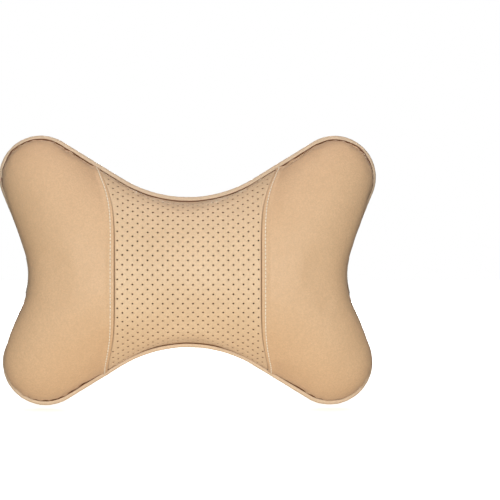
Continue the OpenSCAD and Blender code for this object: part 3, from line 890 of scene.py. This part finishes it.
class FlatPanel:
    """The middle panel laid flat: x across as seen from the front, q along the leather upwards."""

    def __init__(self):
        self.xs = np.arange(-76, 76.1, 1.0)
        self.bs = np.arange(-90, 90.1, 1.0)
        fine_a = np.linspace(-60, 60, 241)
        self.a = np.zeros((len(self.xs), len(self.bs)))
        for k, b in enumerate(self.bs):
            across = front.at(fine_a, np.full(len(fine_a), b))[:, 0]
            self.a[:, k] = np.interp(self.xs, across, fine_a)
        run = run_along(front.at(self.a, np.repeat(self.bs[None], len(self.xs), 0)))
        self.q = run - run[:, [len(self.bs) // 2]]
        self.qs = np.arange(-115, 115.1, 1.0)
        self.b_of = np.stack([np.interp(self.qs, self.q[k], self.bs) for k in range(len(self.xs))])
        self.a_of = np.stack([np.interp(self.b_of[k], self.bs, self.a[k]) for k in range(len(self.xs))])

    @staticmethod
    def read(grid, rows, cols, x, y):
        fx = np.clip((x - rows[0]) / (rows[1] - rows[0]), 0, len(rows) - 1.001)
        fy = np.clip((y - cols[0]) / (cols[1] - cols[0]), 0, len(cols) - 1.001)
        i, j = fx.astype(int), fy.astype(int)
        s, t = fx - i, fy - j
        return (grid[i, j] * (1 - s) * (1 - t) + grid[i + 1, j] * s * (1 - t)
                + grid[i, j + 1] * (1 - s) * t + grid[i + 1, j + 1] * s * t)

    def angles(self, x, q):
        return self.read(self.a_of, self.xs, self.qs, x, q), self.read(self.b_of, self.xs, self.qs, x, q)

    def flat(self, a, b):
        x = front.at(a, b)[..., 0]
        return np.stack([x, self.read(self.q, self.xs, self.bs, x, b)], -1)


def beside_line(line, distance):
    """A line moved sideways in its plane, to its left."""
    way = unit(np.gradient(line, axis=0))
    return line + distance * np.stack([-way[:, 1], way[:, 0]], -1)


def nearest(points, line):
    """Distance from each point to the nearest point of a line, both flat."""
    out = np.full(len(points), 1e9)
    for k in range(0, len(line), 50):
        part = line[k:k + 50]
        out = np.minimum(out, np.linalg.norm(points[:, None] - part[None], axis=-1).min(1))
    return out


def even(line, pitch):
    """Points along a flat line about a pitch apart, ends included."""
    total = run_length(line)[-1]
    s = np.linspace(0, total, max(2, int(round(total / pitch)) + 1))
    return resample(line, line, s)


class FlatEdges:
    """The middle panel's four edges laid flat, each a line of evenly spaced points."""

    def __init__(self, panel):
        up, across, full = np.linspace(-90, 90, 400), np.linspace(-1, 1, 300), np.full(300, 90.0)
        self.right, self.left, self.top, self.bottom = (even(line, BORDER_STEP) for line in (
            panel.flat(seam_a(up), up), panel.flat(-seam_a(up), up),
            panel.flat(across * seam_a(90), full), panel.flat(across * seam_a(-90), -full)))
        around = (self.bottom, self.right, self.top[::-1], self.left[::-1])
        self.border = np.concatenate([line[:-1] for line in around])
        self.seams = np.concatenate([self.left, self.right])
        self.rims = np.concatenate([self.top, self.bottom])

    def beside(self, depths):
        """Lines of points inside the border, at each depth from it."""
        ways = ((self.right, 1), (self.left, -1), (self.top, -1), (self.bottom, 1))
        return np.concatenate([beside_line(line, way * depth)[2:-2]
                               for depth in depths for line, way in ways])

    def hold(self, p, to_seam, to_rim):
        """Which points lie inside, at least so far from the seams and the rims."""
        q_top, q_bottom = (np.interp(p[:, 0], line[:, 0], line[:, 1]) for line in (self.top, self.bottom))
        x_right, x_left = (np.interp(p[:, 1], line[:, 1], line[:, 0]) for line in (self.right, self.left))
        good = (p[:, 1] < q_top - to_rim) & (p[:, 1] > q_bottom + to_rim)
        good &= (p[:, 0] < x_right - to_seam) & (p[:, 0] > x_left + to_seam)
        return good & (nearest(p, self.seams) > to_seam) & (nearest(p, self.rims) > to_rim)


class RingMesh:
    """Flat triangles that fill a border, with a ring of edges round each hole and none in it.

    Every given point, and every ring's points, have their new numbers in made_from.
    """

    def __init__(self, border, loose, centres):
        points = np.concatenate([border, loose]).tolist()
        edges = [(k, (k + 1) % len(border)) for k in range(len(border))]
        self.starts = []
        for centre in centres:
            base = len(points)
            self.starts.append(base)
            edges += [(base + k, base + (k + 1) % HOLE_SIDES) for k in RING]
            for reach in (RING_REACH, OUTER_REACH):
                points += (centre + CIRCLE * HOLE_R * reach).tolist()
        flat, _, triangles, sources, *_ = geometry.delaunay_2d_cdt(
            [Vector(p) for p in points], edges, [list(range(len(border)))], 1, 1e-5)
        self.flat = np.array([tuple(p) for p in flat])
        self.made_from = {old: new for new, olds in enumerate(sources) for old in olds}
        self.ring_of = {self.made_from[base + k]: base for base in self.starts for k in RING}
        self.faces = []
        for face in triangles:
            rings = {self.ring_of.get(v, -1) for v in face}
            if len(rings) > 1 or -1 in rings:
                self.faces.append(tuple(face))

    def ring(self, base):
        return [self.made_from[base + k] for k in RING]


def middle_panel():
    """The panel with the holes: meshed flat, with a ring round every hole, then laid on the front."""
    panel = FlatPanel()
    edges = FlatEdges(panel)
    i, j = np.meshgrid(np.arange(-22, 23), np.arange(-32, 33), indexing="ij")
    lattice = np.stack([i.ravel() * HOLE_PITCH_X, j.ravel() * HOLE_PITCH_UP + HOLE_RISE], -1)
    holed = ((i + j) % 2 == 0).ravel() & edges.hold(lattice, HOLE_TO_SEAM, HOLE_TO_RIM)
    holes = lattice[holed]
    beside = edges.beside((0.35, 0.8, 1.4, 2.2))
    beside = beside[nearest(beside, holes) > 1.9 * HOLE_R]
    plain = lattice[~holed & edges.hold(lattice, FREE_MARGIN, FREE_MARGIN)]
    between = lattice + np.array([HOLE_PITCH_X, HOLE_PITCH_UP]) / 2
    between = between[edges.hold(between, FREE_MARGIN, FREE_MARGIN)]
    net = RingMesh(edges.border, np.concatenate([beside, plain, between]), holes)

    a, b = panel.angles(net.flat[:, 0], net.flat[:, 1])
    surface, normal = front.at(a, b), front.normal(a, b)
    d, e = nearest(net.flat, edges.seams), nearest(net.flat, edges.rims)
    height = -0.7 * bump(d, 0.7) * smooth(e / 3) + pucker_field(surface, e, PUCKER_SEEDS["middle"])
    for base in net.starts:
        height[net.ring(base)] -= HOLE_DIMPLE
        height[net.ring(base + HOLE_SIDES)] += HOLE_DIMPLE * 0.3
    # Painted shade: darker beside the wing seams and along the piping's seam.
    shade = np.maximum(0.9 * bump(d, 0.45), rim_painted_shade(e))
    # A darker lip round each hole: partly the cut edge's own tone, partly painted shade of the hole.
    shade[list(net.ring_of)] = 0.3
    count = len(net.flat)
    build = Build()
    build.add(surface + height[:, None] * normal, net.faces, shade)
    build.add(surface - LEATHER_T * normal, [f[::-1] for f in net.faces], shade)
    rim = [net.made_from[k] for k in range(len(edges.border))]
    build.faces += [(rim[k], rim[k - 1], rim[k - 1] + count, rim[k] + count) for k in range(len(rim))]
    for base, centre in zip(net.starts, holes):
        lip = net.ring(base)
        hole_a, hole_b = panel.angles(*(centre + CIRCLE * HOLE_R).T)
        wall, out = front.at(hole_a, hole_b), front.normal(hole_a, hole_b)
        level = height[lip][:, None]
        # The hole walls carry painted shade, darkest deepest down.
        high, low = (build.add(wall + (level - depth) * out, [], np.full(HOLE_SIDES, dark))
                     for depth, dark in ((0.16, 0.9), (0.75, 1.0)))
        for k in RING:
            m = (k + 1) % HOLE_SIDES
            build.faces += [(lip[k], lip[m], high + m, high + k), (high + k, high + m, low + m, low + k),
                            (low + k, low + m, lip[m] + count, lip[k] + count)]
    obj = build.object("cover_middle")
    finish_piece(obj, "leather", "cushion", "front_center_panel", look="middle")


def middle_lining():
    """The cloth that shows through the holes, made dark as painted shade inside them."""
    rows = np.linspace(-80, 80, 81)
    share = np.linspace(-1, 1, 61)
    a, b = share[None] * (seam_a(rows)[:, None] - 1), np.repeat(rows[:, None], 61, 1)
    near, far = (front.lifted(a, b, np.full(a.shape, -LEATHER_T - gap)) for gap in (0.3, 1.3))
    build = Build()
    closed_sheet(build, near, far, flip=True)
    finish_piece(build.object("lining_middle"), "foam", "cushion", "center_foam")


# ---------------------------------------------------------------- piping

PIPING_STATIONS, PIPING_SIDES = 760, 40
CORD_R, CORD_PLIES, CORD_LAY = 1.22, 3, 1.6
FLANGE_INSETS = (4.2, 5.15, 6.1, 7.05, 8.0)
FLANGE_HALF_T = 0.7


def piping():
    """A leather strip round a three-ply cord, with a flange that is sewn in between the panels."""
    count = PIPING_STATIONS
    t = np.arange(count) / count
    run = run_length(Outline.at(PIPING_R).ring(t))
    s = np.linspace(0, run[-1], count, endpoint=False)
    even_t = np.interp(s, run, t)
    lane = Outline.at(PIPING_R).ring(even_t)
    path = np.column_stack([lane[:, 0], np.full(count, SEAM_Y), lane[:, 1]])
    back_ways = np.tile([0.0, 1.0, 0.0], (count, 1))
    turn = np.arange(PIPING_SIDES) * 2 * np.pi / PIPING_SIDES
    slanted = s[:, None] + 3.08 * np.cos(turn)[None]
    folds = 0.05 * ripple(slanted, 3, 6, 0.12, 0.42) + 0.05 * ripple(slanted, 4, 4, 0.02, 0.06)
    inset = PIPING_R * (1 - np.cos(turn))
    # Painted shade: the tube darkens on its inner flank, in the groove just beyond the leather's edge.
    groove_shade = smooth((inset - (SEAM_INSET - GROOVE_SHADE - edge_shift(path)[0][:, None])) / 0.25)
    build = Build()
    tube(build, path, back_ways, PIPING_R - 0.06 + folds, PIPING_SIDES, closed=True, shade=groove_shade)
    flat = np.stack([Outline.at(inset).ring(even_t) for inset in FLANGE_INSETS], 1)
    top = np.stack([flat[..., 0], np.full(flat.shape[:2], SEAM_Y - FLANGE_HALF_T), flat[..., 1]], -1)
    under = top + np.array([0, 2 * FLANGE_HALF_T, 0])
    loop = np.concatenate([top, under[:, ::-1]], 1)
    # The flange between the panels gets painted shade.
    build.add(loop, grid_faces(count, loop.shape[1], False, True, True), np.full(loop.shape[:2], 0.8))
    finish_piece(build.object("piping_leather"), "piping", "cushion", "piping_cover")

    cord = Build()
    profile = CORD_R + 0.14 * np.cos(CORD_PLIES * (turn[None] + s[:, None] / CORD_LAY))
    tube(cord, path, back_ways, profile, PIPING_SIDES, closed=True)
    finish_piece(cord.object("piping_core"), "cord", "cushion", "piping_cord")


# ---------------------------------------------------------------- back, zipper

BACK_STEPS = np.array([0, 0.1, 0.3, 0.6, 1.0, 1.5, 1.9, 2.15, 2.4, 2.8, 3.4, 4.3, 5.6])
BACK_REST = {"upper": 44, "lower": 70}


def zip_to_world(points):
    """From the zipper's own frame: x along it, y out of the back, z up the back."""
    c, s = math.cos(ZIP_LEAN), math.sin(ZIP_LEAN)
    x, y, z = np.moveaxis(np.asarray(points, float), -1, 0)
    return np.stack([x, SEAM_Y + ZIP_BASE + y * c - z * s, ZIP_Z + y * s + z * c], -1)


def world_to_zip(place):
    c, s = math.cos(ZIP_LEAN), math.sin(ZIP_LEAN)
    x, y, z = place[0], place[1] - SEAM_Y - ZIP_BASE, place[2] - ZIP_Z
    return x, y * c + z * s, z * c - y * s


def opening_half(x):
    """Half the height of the gap in the leather over the zipper, closed past both ends."""
    return mix(0.02, ZIP_GAP * math.cos(ZIP_LEAN), smooth((ZIP_LEN / 2 + 6.6 - abs(x)) / 5.5))


def back_panel(up):
    """The panel above or below the zipper: folded under along it, seamed to the other past its ends."""
    word = "upper" if up > 0 else "lower"
    columns = np.degrees(np.linspace(-np.pi / 2, np.pi / 2, 281))
    u = np.sin(np.radians(columns))
    x_mid = Outline.at(SEAM_INSET).plan(u, v_at(u, ZIP_Z))[..., 0]
    edge_b = np.degrees(np.arcsin(v_at(u, ZIP_Z + up * opening_half(x_mid))))
    rest = BACK_REST[word]
    share = np.linspace(0, 1, 400)
    fine_b = edge_b[:, None] + (up * 90 - edge_b)[:, None] * share
    run = run_along(back.at(np.repeat(columns[:, None], len(share), 1), fine_b))
    total = run[:, -1:]
    shrink = np.minimum(1, total / 14)
    near = BACK_STEPS[None] * shrink
    d = np.concatenate([near, near[:, -1:] + (total - near[:, -1:]) * (np.arange(1, rest + 1) / rest)], 1)
    b = np.stack([np.interp(d[k], run[k], fine_b[k]) for k in range(len(columns))])
    a = np.repeat(columns[:, None], b.shape[1], 1)
    e = rim_distance(back, a, b)
    base = over_piping(back.at(a, b), e, back)
    open_here = smooth((ZIP_LEN / 2 + 6 - abs(x_mid)) / 5)[:, None]
    seam_run = run_length(base[:, 0])[:, None]
    fold = 0.55 * rounded(d, 0.7) * (1 - smooth((d - 2.4) / 3))
    fold -= 0.35 * bump(d - ZIP_STITCH, 0.45)
    fold += 0.1 * np.cos(2 * np.pi * seam_run / STITCH_PITCH) * bump(d - ZIP_STITCH, 1.0)
    valley = -0.7 * bump(d, 1.3) * (1 + 0.25 * ripple(seam_run, 13, 5, 0.03, 0.1))
    height = (fold * open_here + valley * (1 - open_here)) * smooth(e / 3)
    height += pucker_field(base, e, PUCKER_SEEDS[word])
    # Painted shade: darker along the piping's seam and in the fold along the zipper.
    shade = np.maximum(rim_painted_shade(e), 0.85 * bump(d, 0.4))
    normal = back.normal(a, b)
    build = Build()
    closed_sheet(build, base + height[..., None] * normal, base - LEATHER_T * normal, up < 0, shade)
    obj = build.object(f"cover_back_{word}")
    finish_piece(obj, "leather", "cushion", f"back_{word}_panel")

    line = np.linspace(-ZIP_LEN / 2, ZIP_LEN / 2, 200)
    place = np.column_stack([line, np.full(200, 0.25), np.full(200, up * (ZIP_GAP + ZIP_STITCH))])
    out = np.tile([0, math.cos(ZIP_LEAN), math.sin(ZIP_LEAN)], (200, 1))
    sewing = Build()
    sewn_line(sewing, zip_to_world(place), out)
    finish_piece(sewing.object(f"zipper_topstitch_{word}"), "thread", "cushion", f"zipper_{word}_topstitch")


TAPE_TOP, COIL_TOP = -1.5, 0.38
COIL_NEAR, COIL_FAR = 0.32, 3.1
COIL_PITCH, COIL_SAMPLES, COIL_WIRE_R = 1.3, 16, 0.3
COIL_SEWING_Z = (1.7, 2.35)
POST_HALF_CAD, POST_HALF = 0.6, 0.24
PLATE_TOP = 0.7


def boxy(wave):
    """A wave with flatter tops."""
    return np.sign(wave) * np.abs(wave) ** 0.6


def coil(up):
    """One side of the zipper: a nylon coil of flattened turns with its sewing thread."""
    word = "upper" if up > 0 else "lower"
    low, high = node_box(f"zipper_{word}_teeth")
    start, end = low[0], high[0]
    turns = int((end - start) / COIL_PITCH)
    s = np.linspace(0, turns, turns * COIL_SAMPLES + 1)
    turn = 2 * np.pi * (s + (0 if up > 0 else 0.5))
    first, last = start + COIL_WIRE_R, end - COIL_WIRE_R
    half_z = (COIL_FAR - COIL_NEAR) / 2 - COIL_WIRE_R
    half_y = (COIL_TOP - TAPE_TOP) / 2 - COIL_WIRE_R
    x = np.clip(first + (s + 0.16 * np.sin(2 * turn)) * (last - first) / turns, first, last)
    y = (TAPE_TOP + COIL_TOP) / 2 + half_y * boxy(np.sin(turn))
    z = (COIL_NEAR + COIL_FAR) / 2 + half_z * boxy(np.cos(turn))
    build = Build()
    tube(build, zip_to_world(np.column_stack([x, y, up * z])), np.tile([1.0, 0.02, 0.01], (len(x), 1)),
         COIL_WIRE_R, 6)
    line = np.linspace(start, end, 160)
    for z in COIL_SEWING_Z:
        lane = np.column_stack([line, COIL_TOP - 0.12 + 0.05 * np.cos(2 * np.pi * line / COIL_PITCH),
                                np.full(len(line), up * z)])
        tube(build, zip_to_world(lane), np.tile([0, 0.9, 0.45], (len(line), 1)), 0.16, 5)
    finish_piece(build.object(f"zipper_coil_{word}"), "teeth", "cushion", f"zipper_{word}_teeth")


def thin_post(mesh):
    """Thins the post between the slider's plates, so that the two coils can lie close together."""
    for vertex in mesh.vertices:
        x, y, z = world_to_zip(vertex.co / MM)
        if abs(abs(z) - POST_HALF_CAD) < 0.02 and y < PLATE_TOP:
            vertex.co = Vector(zip_to_world([x, y, math.copysign(POST_HALF, z)])) * MM


def refined(node, name, slot, body, width, change=None):
    """A CAD node's shape with its edges rounded."""
    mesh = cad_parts[node].data.copy()
    if change:
        change(mesh)
    obj = linked(name, mesh)
    mesh.materials.clear()
    bevel_mesh(obj, width)
    mesh.shade_smooth()
    return finish_piece(obj, slot, body, node)


def bevel_mesh(obj, width):
    """Rounds every edge sharper than 30 degrees."""
    work = bmesh.new()
    work.from_mesh(obj.data)
    bmesh.ops.remove_doubles(work, verts=work.verts, dist=1e-6)
    bmesh.ops.dissolve_limit(work, angle_limit=math.radians(1), verts=work.verts, edges=work.edges)
    sharp = [e for e in work.edges if len(e.link_faces) == 2 and e.calc_face_angle() > math.radians(30)]
    bmesh.ops.bevel(work, geom=sharp, offset=width * MM, offset_type="OFFSET", segments=3,
                    profile=0.5, affect="EDGES", clamp_overlap=True)
    work.to_mesh(obj.data)
    work.free()


def zipper():
    for up in (1, -1):
        coil(up)
    for node in ("zipper_upper_tape", "zipper_lower_tape"):
        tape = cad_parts[node]
        tape.data.materials.clear()
        tape.data.materials.append(MATERIALS["tape"])
    refined("zipper_top_stops", "zipper_stops_closed_end", "stops", "cushion", 0.22)
    refined("zipper_bottom_stop", "zipper_stop_open_end", "stops", "cushion", 0.25)
    refined("zipper_slider", "zipper_slider_body", "slider", "slider", 0.16, change=thin_post)
    refined("zipper_pull", "zipper_pull_tab", "slider", "pull", 0.2)


# ---------------------------------------------------------------- strap

STRAP_LIFT = 1.1
LEG_START, LEG_CREST, LEG_LEAVES = 87.0, 30.0, 0.375
BARTACK_ROWS, BARTACK_POINTS = (73.0, 76.0, 79.0), 29


def strap_profile():
    """Across the strap: share of the width and height of its outer and inner faces, with ribs."""
    share = np.linspace(-0.5, 0.5, 141)
    rib = 0.1 * np.cos(2 * np.pi * share * 26) - 0.1
    edge = 0.25 * bump(abs(share) - 0.5, 0.018)
    return share, STRAP_T + rib - edge, -rib + edge


def ribbon(name, spots, flip):
    """A ribbed ribbon; spots gives the places for the shares of its width at a lift."""
    share, outer, inner = strap_profile()
    build = Build()
    closed_sheet(build, spots(share, outer), spots(share, inner), flip)
    return build.object(name)


def on_back(a, z):
    """The back's angles at the angle a across and the height z."""
    return a, np.degrees(np.arcsin(v_at(np.sin(np.radians(a)), z)))


def strap():
    """The band behind the headrest, and two legs that run from the cushion's sides to it."""
    stations = np.linspace(-STRAP_END, STRAP_END, 91)

    def middle(share, lift):
        x, s = np.meshgrid(stations, share, indexing="ij")
        height = np.repeat(lift[None], len(stations), 0)
        return np.stack([x, strap_low[1] + height, STRAP_Z + STRAP_W * s], -1)

    finish_piece(ribbon("strap_band", middle, True), "elastic", "strap", "strap_middle")
    for side, word in ((-1, "left"), (1, "right")):

        def leg(share, lift):
            t, s = np.meshgrid(np.linspace(0, 1, 61), share, indexing="ij")
            height = np.repeat(lift[None], len(t), 0)
            z = STRAP_Z + STRAP_W * s
            lying = back.lifted(*on_back(side * mix(LEG_START, LEG_CREST, t), z), STRAP_LIFT + height)
            lying[..., 2] = z
            end = np.stack([np.full(z.shape, side * STRAP_END), strap_low[1] + height, z], -1)
            return mix(lying, end, smooth((t - LEG_LEAVES) / (1 - LEG_LEAVES))[..., None])

        obj = ribbon(f"strap_leg_{word}", leg, side < 0)
        obj.data.materials.append(MATERIALS["elastic"])
        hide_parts(f"strap_{word}_leg")
        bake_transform(obj)

        sewing = Build()
        zigzag = 0.7 * np.where(np.arange(BARTACK_POINTS) % 2, 1, -1)
        heights = STRAP_Z + STRAP_W * np.linspace(-0.46, 0.46, BARTACK_POINTS)
        for row in BARTACK_ROWS:
            a, b = on_back(side * (row + zigzag), heights)
            up = back.normal(a, b)
            tube(sewing, back.at(a, b) + (STRAP_LIFT + STRAP_T + 0.08) * up, up, 0.24, 6)
        finish_piece(sewing.object(f"strap_bartack_{word}_thread"), "thread", "cushion",
                     f"strap_{word}_bartack")


# ---------------------------------------------------------------- inside

CASING_INSET, CASING_DROP = 8.6, 2.8


def inner_grid(is_back, deeper, lumps, seed):
    """A lumpy face inside the cover; deeper is how far it lies under the casing's outer face."""
    angles = np.linspace(-90, 90, 91)
    a, b = np.meshgrid(angles, angles, indexing="ij")
    points = face_point(a, b, is_back, round(CASING_INSET + deeper, 3), CASING_DROP + deeper)
    wave = ripple(points[..., 0] + 0.7 * points[..., 2], seed, 6, 0.02, 0.07)
    wave = wave * ripple(points[..., 2] - 0.5 * points[..., 0], seed + 1, 6, 0.02, 0.07)
    fade = np.cos(np.radians(a)) * np.cos(np.radians(b))
    points[..., 1] -= (1 if is_back else -1) * lumps * fade * (1 + wave) / 2
    return points


def inside():
    """The casing, with brown painted shade where it shows under the zipper, and the stuffing in it."""
    for is_back, word in ((False, "front"), (True, "back")):
        build = Build()
        outer = inner_grid(is_back, 0.0, 0.3, 20)
        # Painted shade on the back casing, in a band under the zipper's gap.
        painted_shade_under_zip = smooth((10 - abs(outer[..., 2] - ZIP_Z)) / 3)
        painted_shade_under_zip = painted_shade_under_zip * smooth((ZIP_LEN / 2 + 12 - abs(outer[..., 0])) / 4)
        closed_sheet(build, outer, inner_grid(is_back, 0.5, 0.3, 20), flip=is_back, shade=painted_shade_under_zip * is_back)
        finish_piece(build.object(f"casing_{word}"), "casing", "cushion", f"inner_casing_{word}")
    build = Build()
    closed_sheet(build, inner_grid(False, 0.8, 0.9, 22), inner_grid(True, 0.8, 0.9, 24), flip=False)
    stuffing = finish_piece(build.object("fibre_stuffing"), "fill", "cushion", "fiber_fill")


# ---------------------------------------------------------------- the pillow

fill_cover()
for one_side in (-1, 1):
    wing(one_side)
middle_panel()
middle_lining()
piping()
for one_way in (1, -1):
    back_panel(one_way)
zipper()
strap()
inside()

# ---------------------------------------------------------------- stage, light and camera


def look_at(obj, target):
    obj.rotation_euler = (Vector(target) - obj.location).to_track_quat("-Z", "Y").to_euler()


def area_light(name, place, size, watts, color):
    data = bpy.data.lights.new(name, "AREA")
    data.shape, data.size, data.energy, data.color = "DISK", size, watts, color
    obj = linked(name, data)
    obj.location = place
    look_at(obj, MIDDLE)


def studio_air():
    """White behind the object, and a weak warm fill on it."""
    world = bpy.data.worlds.new("studio")
    bpy.context.scene.world = world
    world.use_nodes = True
    nodes, links = world.node_tree.nodes, world.node_tree.links
    shown = nodes["Background"]
    shown.inputs["Color"].default_value = (1, 1, 1, 1)
    fill = nodes.new("ShaderNodeBackground")
    fill.inputs["Color"].default_value = (1, 0.92, 0.82, 1)
    fill.inputs["Strength"].default_value = 0.09
    choose = nodes.new("ShaderNodeMixShader")
    links.new(nodes.new("ShaderNodeLightPath").outputs["Is Camera Ray"], choose.inputs[0])
    links.new(fill.outputs[0], choose.inputs[1])
    links.new(shown.outputs[0], choose.inputs[2])
    links.new(choose.outputs[0], nodes["World Output"].inputs["Surface"])


def floor():
    """A white floor that glows more further out, and throws a warm light up beside the middle."""
    level, half = cad_box[0][2] - 0.002, 3.0
    mesh = bpy.data.meshes.new("floor")
    mesh.from_pydata([(x * half, y * half, level) for x, y in ((-1, -1), (1, -1), (1, 1), (-1, 1))],
                     [], [(0, 1, 2, 3)])
    white = Nodes("floor_white", (0.93, 0.93, 0.93), 0.9, Specular_IOR_Level=0.1)
    white.shader.inputs["Emission Color"].default_value = (1, 1, 1, 1)
    away = white.node("ShaderNodeVectorMath", {0: white.place}, operation="LENGTH").outputs["Value"]
    white.link(white.spread(away, 0.15, 0.9, 0.62, 1.1), "Emission Strength")
    across = white.node("ShaderNodeSeparateXYZ", {0: white.place}).outputs["X"]
    lit = white.spread(white.math("ABSOLUTE", across), 0.0, 0.4, 0.72, 0.05)
    bounce = white.node("ShaderNodeEmission", {"Color": (1, 0.8, 0.6, 1), "Strength": lit})
    seen = white.node("ShaderNodeMixShader", {0: white.node("ShaderNodeLightPath").outputs["Is Camera Ray"],
                                              1: bounce.outputs[0], 2: white.shader.outputs[0]})
    white.tree.links.new(seen.outputs[0], white.tree.nodes["Material Output"].inputs["Surface"])
    mesh.materials.append(white.material)
    linked("floor", mesh)


def camera():
    """The photograph's view: from the front, a little above the middle, the pillow on the left."""
    distance, frame_width, rise = 1.8, 0.3723, math.radians(1.5)
    obj = linked("camera", bpy.data.cameras.new("camera"))
    obj.data.sensor_width = 36
    obj.data.lens = obj.data.sensor_width * distance / frame_width
    obj.location = Vector((0, SEAM_Y * MM - distance * math.cos(rise), distance * math.sin(rise)))
    look_at(obj, (0.0462, SEAM_Y * MM, 0.0145))
    bpy.context.scene.camera = obj


MIDDLE = (0, SEAM_Y * MM, 0)
NEUTRAL, WARM = (0.97, 1, 0.99), (1, 0.83, 0.78)

bpy.context.scene.view_settings.view_transform = "Standard"
studio_air()
floor()
area_light("key", (0, -1.9, 0.05), 0.8, 34.5, NEUTRAL)
area_light("top", (0, -0.2, 1.7), 1.2, 11.5, WARM)
area_light("rear", (0, 1.9, 0.35), 1.0, 30, NEUTRAL)
camera()
